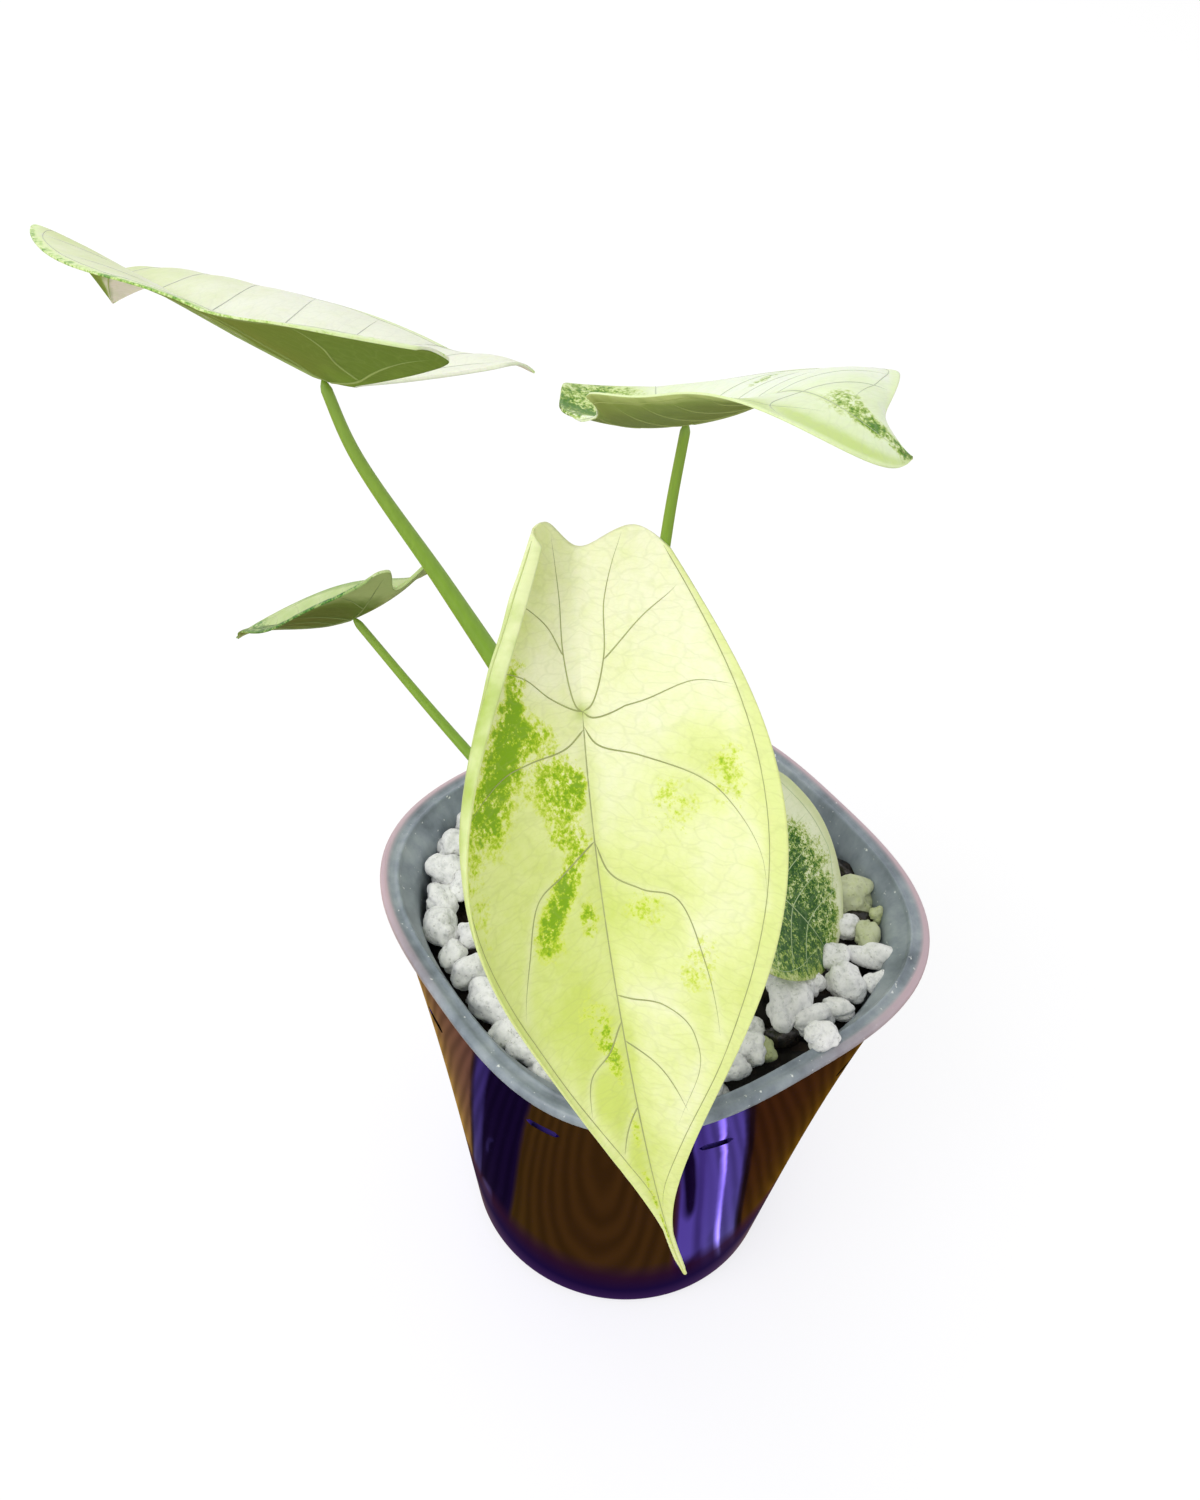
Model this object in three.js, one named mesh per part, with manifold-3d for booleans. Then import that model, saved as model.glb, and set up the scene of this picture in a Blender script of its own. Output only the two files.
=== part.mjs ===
// A young potted alocasia in millimetres, +Z up.
// The origin is the centre of the cover pot's underside, and X and Y run square to the nursery pot's sides.
import * as THREE from "three";
import { mergeVertices } from "three/addons/utils/BufferGeometryUtils.js";
import Module from "manifold-3d";

const wasm = await Module();
wasm.setup();

// Driving dimensions

const GAP = 0.3; // clearance between neighbouring pieces
const DEGREE = Math.PI / 180;

// Cover pot: a tapered sleeve, round at its foot and a squircle at its edge, with a ring of air slots
const COVER = {
  height: 82.8,
  topHalfWidth: 39.1,
  topSquareness: 2.55,
  baseRadius: 28.5,
  wall: 1.2,
  floor: 1.6,
  footRounding: 2.6,
  slots: 9,
  slotHeight: 70,
  slotLength: 5.6,
  slotWidth: 2.2,
  firstSlot: -19,
  segments: 48,
};

// Nursery pot: a squircle cup that hangs by its flange on the cover pot's edge
const NURSERY = {
  rimHalfWidth: 40,
  rimTop: 85.2,
  lipHeight: 2.1,
  lipWidth: 1.6,
  shoulderHalfWidth: 36.8,
  wallHalfWidth: 37.1,
  baseHalfWidth: 24.5,
  baseHeight: 4,
  floor: 1.2,
  wall: 1,
  rimSquareness: 2.93,
  wallSquareness: 2.5,
  baseSquareness: 2.05,
  drainHoles: 4,
  drainRadius: 3.2,
  drainOffset: 13,
  segments: 44,
};

// Substrate, top dressing and stem base
const SOIL = { top: 75, crownHoleDepth: 19 };
const DRESSING = {
  thickness: 1.4,
  grains: 104,
  smallest: 2.2,
  largest: 3.8,
  closeness: 0.86,
  attempts: 6000,
  seed: 41,
  holeRadius: 9.2,
  wallClearance: 1.28, // of a grain's radius, from its centre to the pot's wall
  stemClearance: 1.1, // of a grain's radius, from its centre to the hole
  stand: 0.45, // of a grain's radius, from the layer up to its centre
  reach: 1.25, // of a grain's radius, as far as its furthest corner can lie
};
const STEM = { radius: 7, neckRadius: 6.4, bottom: 58.5, top: 79.5, segments: 16 };
const STALK = { sides: 9, stepLength: 8, thinning: 1.3, sunk: 2 };

// Leaves. Lengths in mm and angles in degrees. A blade lies along +Y before it is turned, with its upper side
// up. "slopes" are the rise of each half across the blade at its back, middle and tip.
const LEAVES = [
  {
    name: "front",
    attach: [11.1, -24.2, 143.1],
    turn: -116.4, tilt: -36.2, roll: 26.8,
    length: 87, lobe: 23, notch: 21.5, corner: 17.6, halfWidth: 24.3, rightShare: 0.81,
    backWidth: 0.55, widest: 0.31, shoulder: 1.96, taper: 3.33,
    bend: 54, hook: 7, lift: -17, liftPower: 1, sweep: 14, twist: -8,
    waves: 1.89, rollStart: 0.74, rollEnd: 0.76,
    right: { slopes: [64, 40, 8], arch: 19, curl: 140, lobeCurl: -5, wave: -2.6, phase: 0.12 },
    left: { slopes: [19, 3, 14], arch: -4, curl: 3, lobeCurl: -4, wave: -1.2, phase: 0.04 },
    rows: 20, columns: 9, colour: 0xd9e58a,
    petiole: { foot: [3.4, -2.9], lean: [[4.6, -5, 96], [6.4, -12, 124]], radii: [2.3, 1.5] },
  },
  {
    name: "upper_left",
    attach: [-45.9, -29.5, 161.6],
    turn: 105.5, tilt: 1.8, roll: 31.6,
    length: 81, lobe: 26.7, notch: 4, corner: 26.7, halfWidth: 24.5, rightShare: 1.02,
    backWidth: 0.55, widest: 0.14, shoulder: 2.21, taper: 0.87,
    bend: 5, hook: 27.6, lift: 30, liftPower: 0.45, sweep: 57.5, twist: 4,
    waves: 1.6, rollStart: 0.7, rollEnd: 0.89,
    right: { slopes: [46, 35, 30], arch: -35, curl: 3, lobeCurl: -26, wave: -0.6, phase: 0.11 },
    left: { slopes: [25, 15, 31], arch: -17, curl: -11, lobeCurl: -8, wave: -1.7, phase: 0.3 },
    rows: 20, columns: 7, colour: 0xdfe2cf,
    petiole: {
      foot: [-4.4, -0.8],
      lean: [[-8.4, -1.9, 86.4], [-21.9, -10.8, 111.9], [-32.9, -18.6, 131.5], [-42.3, -27.2, 151.5]],
      radii: [2.65, 0.8],
    },
  },
  {
    name: "upper_right",
    attach: [-11.2, 5.8, 163.1],
    turn: -81.2, tilt: 31.6, roll: 48.4,
    length: 47.8, lobe: 19.4, notch: 19.4, corner: 15.4, halfWidth: 16.9, rightShare: 1,
    backWidth: 0.49, widest: 0.37, shoulder: 2.32, taper: 0.96,
    bend: -61, hook: 166, lift: 66, liftPower: 1, sweep: 45, twist: 46,
    waves: 1.51, rollStart: 0.7, rollEnd: 0.87,
    right: { slopes: [83, 45, -4], arch: 30, curl: 8, lobeCurl: -65, wave: 0.9, phase: -0.16 },
    left: { slopes: [-44, -17, -21], arch: -39, curl: 19, lobeCurl: 3, wave: -1.7, phase: 0.51 },
    rows: 20, columns: 7, colour: 0xdfe9cf,
    petiole: {
      foot: [-2.6, 3.7],
      lean: [[-6.5, 4.6, 94], [-10.9, 3.6, 122], [-11.8, 4.9, 147]],
      radii: [1.5, 0.7],
    },
  },
  {
    name: "small_left",
    attach: [-46.9, -27.4, 119.6],
    turn: 112, tilt: -37, roll: 5,
    length: 33.9, lobe: 18.1, notch: 12.3, corner: 15.8, halfWidth: 10.7, rightShare: 1,
    backWidth: 0.59, widest: 0.36, shoulder: 1.93, taper: 1.19,
    bend: -22, hook: 35, lift: 25, liftPower: 1, sweep: 2, twist: 2,
    waves: 1.5, rollStart: 0.7, rollEnd: 0.9,
    right: { slopes: [-2, 18, 11], arch: -2, curl: 1, lobeCurl: -1, wave: -0.3, phase: -0.14 },
    left: { slopes: [40, 36, 22], arch: -20, curl: -42, lobeCurl: -1, wave: -0.45, phase: 0.45 },
    rows: 15, columns: 6, colour: 0x3f7a2c,
    petiole: {
      foot: [-1.2, -4.4],
      lean: [[-4.6, -6.2, 82], [-17, -12.1, 91.3], [-33.5, -20.2, 105.6]],
      radii: [1.35, 0.65],
    },
  },
  {
    name: "small_right",
    attach: [8.7, 10, 94.3],
    turn: -54.4, tilt: -33, roll: -1.7,
    length: 23.9, lobe: 12, notch: 9, corner: 10, halfWidth: 19, rightShare: 1,
    backWidth: 0.63, widest: 0.34, shoulder: 2.21, taper: 0.83,
    bend: 7, hook: 35, lift: -1, liftPower: 1, sweep: 6.5, twist: 1,
    waves: 1.56, rollStart: 0.7, rollEnd: 0.9,
    right: { slopes: [5.5, 8.3, 2], arch: 1, curl: 0.5, lobeCurl: 0, wave: -0.2, phase: 0 },
    left: { slopes: [18, 4.5, 8], arch: 11, curl: 10, lobeCurl: 1, wave: 0.4, phase: 0.38 },
    rows: 14, columns: 7, colour: 0x4f8136,
    petiole: { foot: [3.6, 2.9], lean: [[5.2, 5.1, 83], [7.6, 8.6, 89.5]], radii: [1.3, 0.8] },
  },
];
const BLADE_THICKNESS = 0.7;
const TIP_HALF_WIDTH = 0.5; // a blade ends this wide each side of its midrib
const MARGIN_CROWDING = 1.5; // above 1, the columns of a blade lie closer towards its margin

// Small helpers

// A seeded draw of numbers from 0 to 1.
function seededDraw(seed) {
  let state = seed;
  return () => {
    state = (state * 1664525 + 1013904223) % 4294967296;
    return state / 4294967296;
  };
}

const clamp = (value) => Math.min(Math.max(value, 0), 1);

// A copy that keeps its places alone, so that corners that meet can be merged.
function bareCopy(geometry) {
  const copy = geometry.clone();
  copy.deleteAttribute("normal");
  copy.deleteAttribute("uv");
  return copy;
}

function bareGeometry(positions, indices) {
  const geometry = new THREE.BufferGeometry();
  geometry.setAttribute("position", new THREE.Float32BufferAttribute(positions, 3));
  geometry.setIndex(indices);
  return geometry;
}

// A closed geometry as a solid for joining and cutting.
function toSolid(source) {
  const merged = mergeVertices(bareCopy(source), 1e-4);
  const mesh = new wasm.Mesh({
    numProp: 3,
    vertProperties: merged.attributes.position.array,
    triVerts: new Uint32Array(merged.index.array),
  });
  return new wasm.Manifold(mesh);
}

function toGeometry(solid) {
  const mesh = solid.getMesh();
  return bareGeometry(Array.from(mesh.vertProperties), Array.from(mesh.triVerts));
}

// The largest separate piece of a solid that a cut has left in several.
function largestPiece(solid) {
  return solid.decompose().reduce((best, piece) => (piece.volume() > best.volume() ? piece : best));
}

// Pots

// Distance from the axis to a squircle of the given half width in the direction of an angle.
function squircleRadius(halfWidth, squareness, angle) {
  const c = Math.abs(Math.cos(angle)) ** squareness;
  const s = Math.abs(Math.sin(angle)) ** squareness;
  return halfWidth / (c + s) ** (1 / squareness);
}

// A squircle turned form: the profile's levels run from the axis round the outside and back to the axis.
function squircleForm(levels, segments) {
  const positions = [];
  const indices = [];
  const inner = levels.slice(1, -1);
  positions.push(0, 0, levels[0].z);
  for (const level of inner) {
    for (let k = 0; k < segments; k += 1) {
      const angle = (2 * Math.PI * k) / segments;
      const radius = squircleRadius(level.half, level.squareness, angle);
      positions.push(radius * Math.cos(angle), radius * Math.sin(angle), level.z);
    }
  }
  positions.push(0, 0, levels.at(-1).z);
  const last = positions.length / 3 - 1;
  for (let k = 0; k < segments; k += 1) {
    const next = (k + 1) % segments;
    indices.push(0, 1 + next, 1 + k);
    for (let row = 0; row < inner.length - 1; row += 1) {
      const low = 1 + row * segments;
      const high = low + segments;
      indices.push(low + k, low + next, high + next, low + k, high + next, high + k);
    }
    const top = 1 + (inner.length - 1) * segments;
    indices.push(top + k, top + next, last);
  }
  return bareGeometry(positions, indices);
}

function latheOnZ(profile, segments) {
  const points = profile.map(([radius, z]) => new THREE.Vector2(radius, z));
  const geometry = new THREE.LatheGeometry(points, segments);
  geometry.rotateX(Math.PI / 2);
  return geometry;
}

// The cover pot's outside is round low down and turns into a squircle towards its edge.
function coverPot() {
  const { height, topHalfWidth, topSquareness, baseRadius, wall, floor, footRounding, segments } = COVER;
  const outside = (z) => baseRadius + ((topHalfWidth - baseRadius) * z) / height;
  const side = (z, inward) => {
    return { half: outside(z) - inward, z, squareness: 2 + (topSquareness - 2) * clamp(z / height) ** 4 };
  };
  const foot = [0, 0.5, 1].map((share) => {
    const angle = share * 80 * DEGREE;
    const half = outside(footRounding) - footRounding * (1 - Math.sin(angle));
    return { half, z: footRounding * (1 - Math.cos(angle)), squareness: 2 };
  });
  const bends = [40, 56, 68, 76];
  const levels = [
    { half: 0, z: 0 },
    ...foot,
    ...bends.map((z) => side(z, 0)),
    side(height - 0.4, 0),
    side(height, 0.35),
    side(height, wall),
    ...bends.toReversed().map((z) => side(z, wall)),
    side(floor + 2, wall),
    side(floor, wall + 2),
    { half: 0, z: floor },
  ];
  let pot = toSolid(squircleForm(levels, segments));
  const { slots, slotHeight, slotLength, slotWidth, firstSlot } = COVER;
  const half = slotLength / 2 - slotWidth / 2;
  const outline = new THREE.Shape();
  outline.absarc(half, 0, slotWidth / 2, -Math.PI / 2, Math.PI / 2);
  outline.absarc(-half, 0, slotWidth / 2, Math.PI / 2, (3 * Math.PI) / 2);
  const reach = 6;
  for (let k = 0; k < slots; k += 1) {
    const straight = { depth: reach, bevelEnabled: false, curveSegments: 3 };
    const cutter = new THREE.ExtrudeGeometry(outline, straight);
    cutter.translate(0, 0, outside(slotHeight) - reach / 2);
    cutter.rotateX(Math.PI / 2);
    cutter.rotateZ(Math.PI / 2 + (firstSlot + (360 / slots) * k) * DEGREE);
    cutter.translate(0, 0, slotHeight);
    pot = pot.subtract(toSolid(cutter));
  }
  return toGeometry(pot);
}

// Half width and squareness of the nursery pot's outer wall at a height.
function nurseryWall(z) {
  const { baseHeight, rimTop, lipHeight, baseHalfWidth, wallHalfWidth } = NURSERY;
  const { baseSquareness, wallSquareness } = NURSERY;
  const share = clamp((z - baseHeight) / (rimTop - lipHeight - baseHeight));
  return {
    half: baseHalfWidth + (wallHalfWidth - baseHalfWidth) * share,
    squareness: baseSquareness + (wallSquareness - baseSquareness) * share,
  };
}

function nurseryPot() {
  const { rimHalfWidth, rimTop, lipHeight, lipWidth, shoulderHalfWidth } = NURSERY;
  const { baseHeight, floor, wall, rimSquareness } = NURSERY;
  const underLip = rimTop - lipHeight;
  const rim = (half, z) => ({ half, z, squareness: rimSquareness });
  const side = (z, inward) => ({ ...nurseryWall(z), half: nurseryWall(z).half - inward, z });
  const levels = [
    { half: 0, z: baseHeight },
    side(baseHeight, 1.4),
    side(baseHeight + 1.4, 0),
    side(underLip - 2.4, 0),
    side(underLip, -0.1),
    rim(rimHalfWidth - 0.3, underLip),
    rim(rimHalfWidth, underLip + 0.4),
    rim(rimHalfWidth, rimTop - 0.5),
    rim(rimHalfWidth - 0.5, rimTop),
    rim(rimHalfWidth - lipWidth, rimTop),
    rim(rimHalfWidth - lipWidth - 0.5, rimTop - 0.9),
    rim(shoulderHalfWidth, underLip + 0.8),
    side(underLip - 1.6, wall),
    side(baseHeight + floor + 1, wall),
    side(baseHeight + floor, wall + 1.2),
    { half: 0, z: baseHeight + floor },
  ];
  let pot = toSolid(squircleForm(levels, NURSERY.segments));
  const { drainHoles, drainRadius, drainOffset } = NURSERY;
  for (let k = 0; k < drainHoles; k += 1) {
    const angle = ((k + 0.5) * 2 * Math.PI) / drainHoles;
    const hole = new THREE.CylinderGeometry(drainRadius, drainRadius, 4 * floor, 12);
    hole.rotateX(Math.PI / 2);
    hole.translate(drainOffset * Math.cos(angle), drainOffset * Math.sin(angle), baseHeight);
    pot = pot.subtract(toSolid(hole));
  }
  return toGeometry(pot);
}

// Substrate and stem base

// A level of what fills the nursery pot, held off its inner wall by the gap and a further inset.
function fillLevel(z, inset) {
  const outer = nurseryWall(z);
  return { ...outer, half: outer.half - NURSERY.wall - GAP - inset, z };
}

function stemBase() {
  const { radius, neckRadius, bottom, top } = STEM;
  const profile = [
    [0, bottom],
    [radius * 0.6, bottom + 1],
    [radius, bottom + 5],
    [radius, top - 6],
    [neckRadius, top - 1.5],
    [neckRadius * 0.7, top],
    [0, top + 0.4],
  ];
  return latheOnZ(profile, STEM.segments);
}

function crownHole(radius, bottom, top) {
  const hole = new THREE.CylinderGeometry(radius, radius, top - bottom, 20);
  hole.rotateX(Math.PI / 2);
  hole.translate(0, 0, (top + bottom) / 2);
  return toSolid(hole);
}

function substrate() {
  const bottom = NURSERY.baseHeight + NURSERY.floor + GAP;
  const levels = [
    { half: 0, z: bottom },
    fillLevel(bottom, 1.4),
    fillLevel(bottom + 1.4, 0),
    fillLevel(SOIL.top - 0.6, 0),
    fillLevel(SOIL.top, 0.6),
    { half: 0, z: SOIL.top },
  ];
  const body = toSolid(squircleForm(levels, NURSERY.segments));
  const hole = crownHole(STEM.radius + GAP, SOIL.top - SOIL.crownHoleDepth, SOIL.top + 1);
  return toGeometry(body.subtract(hole));
}

// Leaf blades

// A smooth quadratic through three values at the back, just before the middle, and at the tip.
function blendThree(share, [back, middle, tip]) {
  const at = 0.45;
  return (
    (back * (share - at) * (share - 1)) / at +
    (middle * share * (share - 1)) / (at * (at - 1)) +
    (tip * share * (share - at)) / (1 - at)
  );
}

// Half width of a blade as a share of its widest, at v from the back (0) to the tip (1).
function widthShare(leaf, v) {
  const rise = leaf.backWidth + (1 - leaf.backWidth) * Math.sin((Math.PI / 2) * clamp(v / leaf.widest));
  const along = clamp((v - leaf.widest) / (1 - leaf.widest));
  const fall = Math.max(1 - along ** leaf.shoulder, 0) ** leaf.taper;
  return v < leaf.widest ? rise : fall;
}

// How far the back margin lies behind the petiole, at a from the midrib (0) to the corner (1).
function lobeDepth(leaf, a) {
  if (a < 0.5) return leaf.notch + (leaf.lobe - leaf.notch) * Math.sin(Math.PI * a) ** 2;
  return leaf.lobe - (leaf.lobe - leaf.corner) * ((a - 0.5) / 0.5) ** 2;
}

// The midrib as frames: point, sideways and upward direction, at even steps from the lobe's end to the tip.
function midribFrames(leaf) {
  const steps = 200;
  const span = leaf.length + leaf.lobe;
  const frames = [];
  const point = new THREE.Vector3();
  let last = null;
  for (let k = 0; k <= steps; k += 1) {
    const y = -leaf.lobe + (span * k) / steps;
    const ahead = clamp(y / leaf.length);
    const behind = clamp(-y / leaf.lobe);
    const fall = leaf.bend * ahead + leaf.hook * ahead ** 4 + leaf.lift * behind ** leaf.liftPower;
    const pitch = -fall * DEGREE;
    const yaw = leaf.sweep * ahead ** 2 * DEGREE;
    const twist = ((leaf.twist * y) / leaf.length) * DEGREE;
    const [sy, cy, sp, cp] = [Math.sin(yaw), Math.cos(yaw), Math.sin(pitch), Math.cos(pitch)];
    const tangent = new THREE.Vector3(sy * cp, cy * cp, sp);
    const up = new THREE.Vector3(-sy * sp, -cy * sp, cp);
    const side = new THREE.Vector3(cy, -sy, 0);
    if (last) {
      point.addScaledVector(last, span / steps / 2);
      point.addScaledVector(tangent, span / steps / 2);
    }
    last = tangent;
    const turnedSide = side.clone().multiplyScalar(Math.cos(twist)).addScaledVector(up, Math.sin(twist));
    const turnedUp = up.clone().multiplyScalar(Math.cos(twist)).addScaledVector(side, -Math.sin(twist));
    frames.push({ point: point.clone(), side: turnedSide, up: turnedUp });
  }
  const origin = frameAt(frames, leaf, 0).point;
  for (const frame of frames) frame.point.sub(origin);
  return frames;
}

function frameAt(frames, leaf, y) {
  const place = clamp((y + leaf.lobe) / (leaf.length + leaf.lobe)) * (frames.length - 1);
  const index = Math.min(Math.floor(place), frames.length - 2);
  const share = place - index;
  const [low, high] = [frames[index], frames[index + 1]];
  return {
    point: low.point.clone().lerp(high.point, share),
    side: low.side.clone().lerp(high.side, share),
    up: low.up.clone().lerp(high.up, share),
  };
}

// Slope of the blade across, in radians, at a from the midrib to the margin of one half.
function crossSlope(leaf, half, v, a) {
  const beyond = clamp((a - leaf.rollStart) / (1 - leaf.rollStart));
  const curl = half.curl * beyond ** 2 * Math.sqrt(clamp(1 - v / leaf.rollEnd));
  const lobeCurl = half.lobeCurl * a ** 2 * clamp(1 - v / 0.3) ** 2;
  return (blendThree(v, half.slopes) + half.arch * a + curl + lobeCurl) * DEGREE;
}

// Points of the blade's middle surface, row by row from the back to the tip, left margin to right.
function bladeRows(leaf) {
  const frames = midribFrames(leaf);
  const turn = new THREE.Matrix4().makeRotationZ(leaf.turn * DEGREE);
  turn.multiply(new THREE.Matrix4().makeRotationX(leaf.tilt * DEGREE));
  turn.multiply(new THREE.Matrix4().makeRotationY(leaf.roll * DEGREE));
  const attach = new THREE.Vector3(...leaf.attach);
  const fine = 8;
  const rows = [];
  for (let i = 0; i <= leaf.rows; i += 1) {
    const v = i / leaf.rows;
    const share = widthShare(leaf, v);
    const halves = [[], []];
    [leaf.left, leaf.right].forEach((half, which) => {
      const sign = which === 0 ? -1 : 1;
      const width = Math.max(leaf.halfWidth * share * (which ? leaf.rightShare : 1), TIP_HALF_WIDTH);
      let across = 0;
      let rise = 0;
      let reached = 0;
      for (let j = 0; j <= leaf.columns; j += 1) {
        const a = 1 - (1 - j / leaf.columns) ** MARGIN_CROWDING;
        const step = (a - reached) / fine;
        for (let k = 0; k < fine; k += 1) {
          const slope = crossSlope(leaf, half, v, reached + (k + 0.5) * step);
          across += Math.cos(slope) * width * step;
          rise += Math.sin(slope) * width * step;
        }
        reached = a;
        const wave = a ** 2 * share * half.wave * Math.sin(2 * Math.PI * (leaf.waves * v + half.phase));
        const depth = lobeDepth(leaf, a);
        const frame = frameAt(frames, leaf, -depth + (leaf.length + depth) * v);
        const point = frame.point.addScaledVector(frame.side, sign * across);
        point.addScaledVector(frame.up, rise + wave).applyMatrix4(turn).add(attach);
        halves[which].push(point);
      }
    });
    rows.push([...halves[0].reverse(), ...halves[1].slice(1)]);
  }
  return rows;
}

// A plate of even thickness about a grid of points, split into triangles alike on both faces.
function plateGeometry(rows, thickness) {
  const high = rows.length;
  const wide = rows[0].length;
  const layers = [[], []];
  for (let i = 0; i < high; i += 1) {
    for (let j = 0; j < wide; j += 1) {
      const along = rows[Math.min(i + 1, high - 1)][j].clone().sub(rows[Math.max(i - 1, 0)][j]);
      const across = rows[i][Math.min(j + 1, wide - 1)].clone().sub(rows[i][Math.max(j - 1, 0)]);
      const normal = across.cross(along).normalize();
      layers[0].push(rows[i][j].clone().addScaledVector(normal, thickness / 2));
      layers[1].push(rows[i][j].clone().addScaledVector(normal, -thickness / 2));
    }
  }
  const count = high * wide;
  const indices = [];
  for (let i = 0; i < high - 1; i += 1) {
    for (let j = 0; j < wide - 1; j += 1) {
      const [a, b] = [i * wide + j, i * wide + j + 1];
      const [c, d] = [b + wide, a + wide];
      indices.push(a, b, c, a, c, d);
      indices.push(count + a, count + c, count + b, count + a, count + d, count + c);
    }
  }
  const border = [];
  for (let j = 0; j < wide - 1; j += 1) border.push(j);
  for (let i = 0; i < high - 1; i += 1) border.push(i * wide + wide - 1);
  for (let j = wide - 1; j > 0; j -= 1) border.push((high - 1) * wide + j);
  for (let i = high - 1; i > 0; i -= 1) border.push(i * wide);
  border.forEach((from, place) => {
    const to = border[(place + 1) % border.length];
    indices.push(from, count + from, count + to, from, count + to, to);
  });
  const positions = [...layers[0], ...layers[1]].flatMap((point) => point.toArray());
  return bareGeometry(positions, indices);
}

// Petioles

// A round stalk that thins along its curve.
function stalkGeometry(curve, radii, sides, steps) {
  const frames = curve.computeFrenetFrames(steps, false);
  const positions = [];
  const indices = [];
  for (let i = 0; i <= steps; i += 1) {
    const share = i / steps;
    const centre = curve.getPointAt(share);
    const radius = radii[1] + (radii[0] - radii[1]) * (1 - share) ** STALK.thinning;
    for (let k = 0; k < sides; k += 1) {
      const angle = (2 * Math.PI * k) / sides;
      const point = centre.clone().addScaledVector(frames.normals[i], radius * Math.cos(angle));
      positions.push(...point.addScaledVector(frames.binormals[i], radius * Math.sin(angle)).toArray());
    }
  }
  const last = steps * sides;
  for (let k = 0; k < sides; k += 1) {
    const next = (k + 1) % sides;
    for (let i = 0; i < steps; i += 1) {
      const low = i * sides;
      const high = low + sides;
      indices.push(low + k, low + next, high + next, low + k, high + next, high + k);
    }
    if (k > 0 && k < sides - 1) {
      indices.push(0, k + 1, k);
      indices.push(last, last + k, last + k + 1);
    }
  }
  return bareGeometry(positions, indices);
}

// The stalk rises from the stem base and stops just under its blade.
function petiole(leaf) {
  const { foot, lean, radii } = leaf.petiole;
  const places = [[...foot, STEM.top - STALK.sunk], ...lean, leaf.attach];
  const points = places.map((place) => new THREE.Vector3(...place));
  const curve = new THREE.CatmullRomCurve3(points, false, "centripetal");
  const steps = Math.round(curve.getLength() / STALK.stepLength) + 2;
  let stalk = toSolid(stalkGeometry(curve, radii, STALK.sides, steps));
  const blade = toSolid(plateGeometry(bladeRows(leaf), BLADE_THICKNESS + 2 * GAP));
  stalk = stalk.subtract(blade);
  const wideStem = stemBase();
  wideStem.translate(0, 0, -STEM.top);
  wideStem.scale(1 + GAP / STEM.neckRadius, 1 + GAP / STEM.neckRadius, 1);
  wideStem.translate(0, 0, STEM.top + GAP);
  return toGeometry(largestPiece(stalk.subtract(toSolid(wideStem))));
}

// Top dressing

// A lumpy grain: a rounded twenty-sided pebble with each corner pushed in or out.
function grainSolid(draw, x, y, z, radius) {
  const grain = mergeVertices(bareCopy(new THREE.IcosahedronGeometry(radius, 0)), 1e-3);
  const places = grain.attributes.position;
  const squash = [0.85 + 0.35 * draw(), 0.85 + 0.35 * draw(), 0.7 + 0.3 * draw()];
  for (let k = 0; k < places.count; k += 1) {
    const push = 0.8 + 0.35 * draw();
    places.setXYZ(
      k,
      places.getX(k) * squash[0] * push,
      places.getY(k) * squash[1] * push,
      places.getZ(k) * squash[2] * push,
    );
  }
  grain.rotateZ(2 * Math.PI * draw());
  grain.translate(x, y, z);
  return toSolid(grain);
}

// Perlite grains lie on a thin layer that rests on the substrate. They stay clear of the stalks and blades.
function topDressing(obstacles) {
  const { thickness, grains, smallest, largest, seed, holeRadius, attempts, closeness } = DRESSING;
  const { wallClearance, stemClearance, stand, reach } = DRESSING;
  const bottom = SOIL.top + GAP;
  const top = bottom + thickness;
  const layer = [{ half: 0, z: bottom }, fillLevel(bottom, 0), fillLevel(top, 0.1), { half: 0, z: top }];
  const hole = crownHole(holeRadius, bottom - 1, top + 1);
  let dressing = toSolid(squircleForm(layer, NURSERY.segments)).subtract(hole);
  const draw = seededDraw(seed);
  const placed = [];
  const room = fillLevel(top, 0);
  for (let attempt = 0; placed.length < grains && attempt < attempts; attempt += 1) {
    const radius = smallest + (largest - smallest) * draw() * (1 - attempt / attempts);
    const x = (2 * draw() - 1) * room.half;
    const y = (2 * draw() - 1) * room.half;
    const distance = Math.hypot(x, y);
    const half = room.half - wallClearance * radius;
    const limit = squircleRadius(half, room.squareness, Math.atan2(y, x));
    const crowded = (other) => Math.hypot(x - other.x, y - other.y) < closeness * (radius + other.radius);
    if (distance > limit || distance < holeRadius + stemClearance * radius) continue;
    if (placed.some(crowded)) continue;
    placed.push({ x, y, radius });
  }
  for (const { x, y, radius } of placed) {
    const z = top + stand * radius;
    const grain = grainSolid(draw, x, y, z, radius);
    const around = ballSolid(x, y, z, reach * radius + GAP);
    if (obstacles.some((obstacle) => around.intersect(obstacle).volume() > 0)) continue;
    dressing = dressing.add(grain);
  }
  return toGeometry(largestPiece(dressing));
}

function ballSolid(x, y, z, radius) {
  const ball = new THREE.IcosahedronGeometry(radius, 1);
  ball.translate(x, y, z);
  return toSolid(ball);
}

// The whole plant

const FINISH = {
  cover_pot: { color: 0x4a2a78, roughness: 0.08, metalness: 0.9 },
  nursery_pot: { color: 0x8f969b, roughness: 0.45, metalness: 0 },
  substrate: { color: 0x2a211a, roughness: 0.95, metalness: 0 },
  perlite: { color: 0xf2f2ee, roughness: 0.9, metalness: 0 },
  stem_base: { color: 0x8f9a5a, roughness: 0.7, metalness: 0 },
  petiole: { color: 0x8db43c, roughness: 0.45, metalness: 0 },
};

function named(name, geometry, finish) {
  const mesh = new THREE.Mesh(geometry, new THREE.MeshStandardMaterial(finish));
  mesh.name = name;
  return mesh;
}

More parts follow.
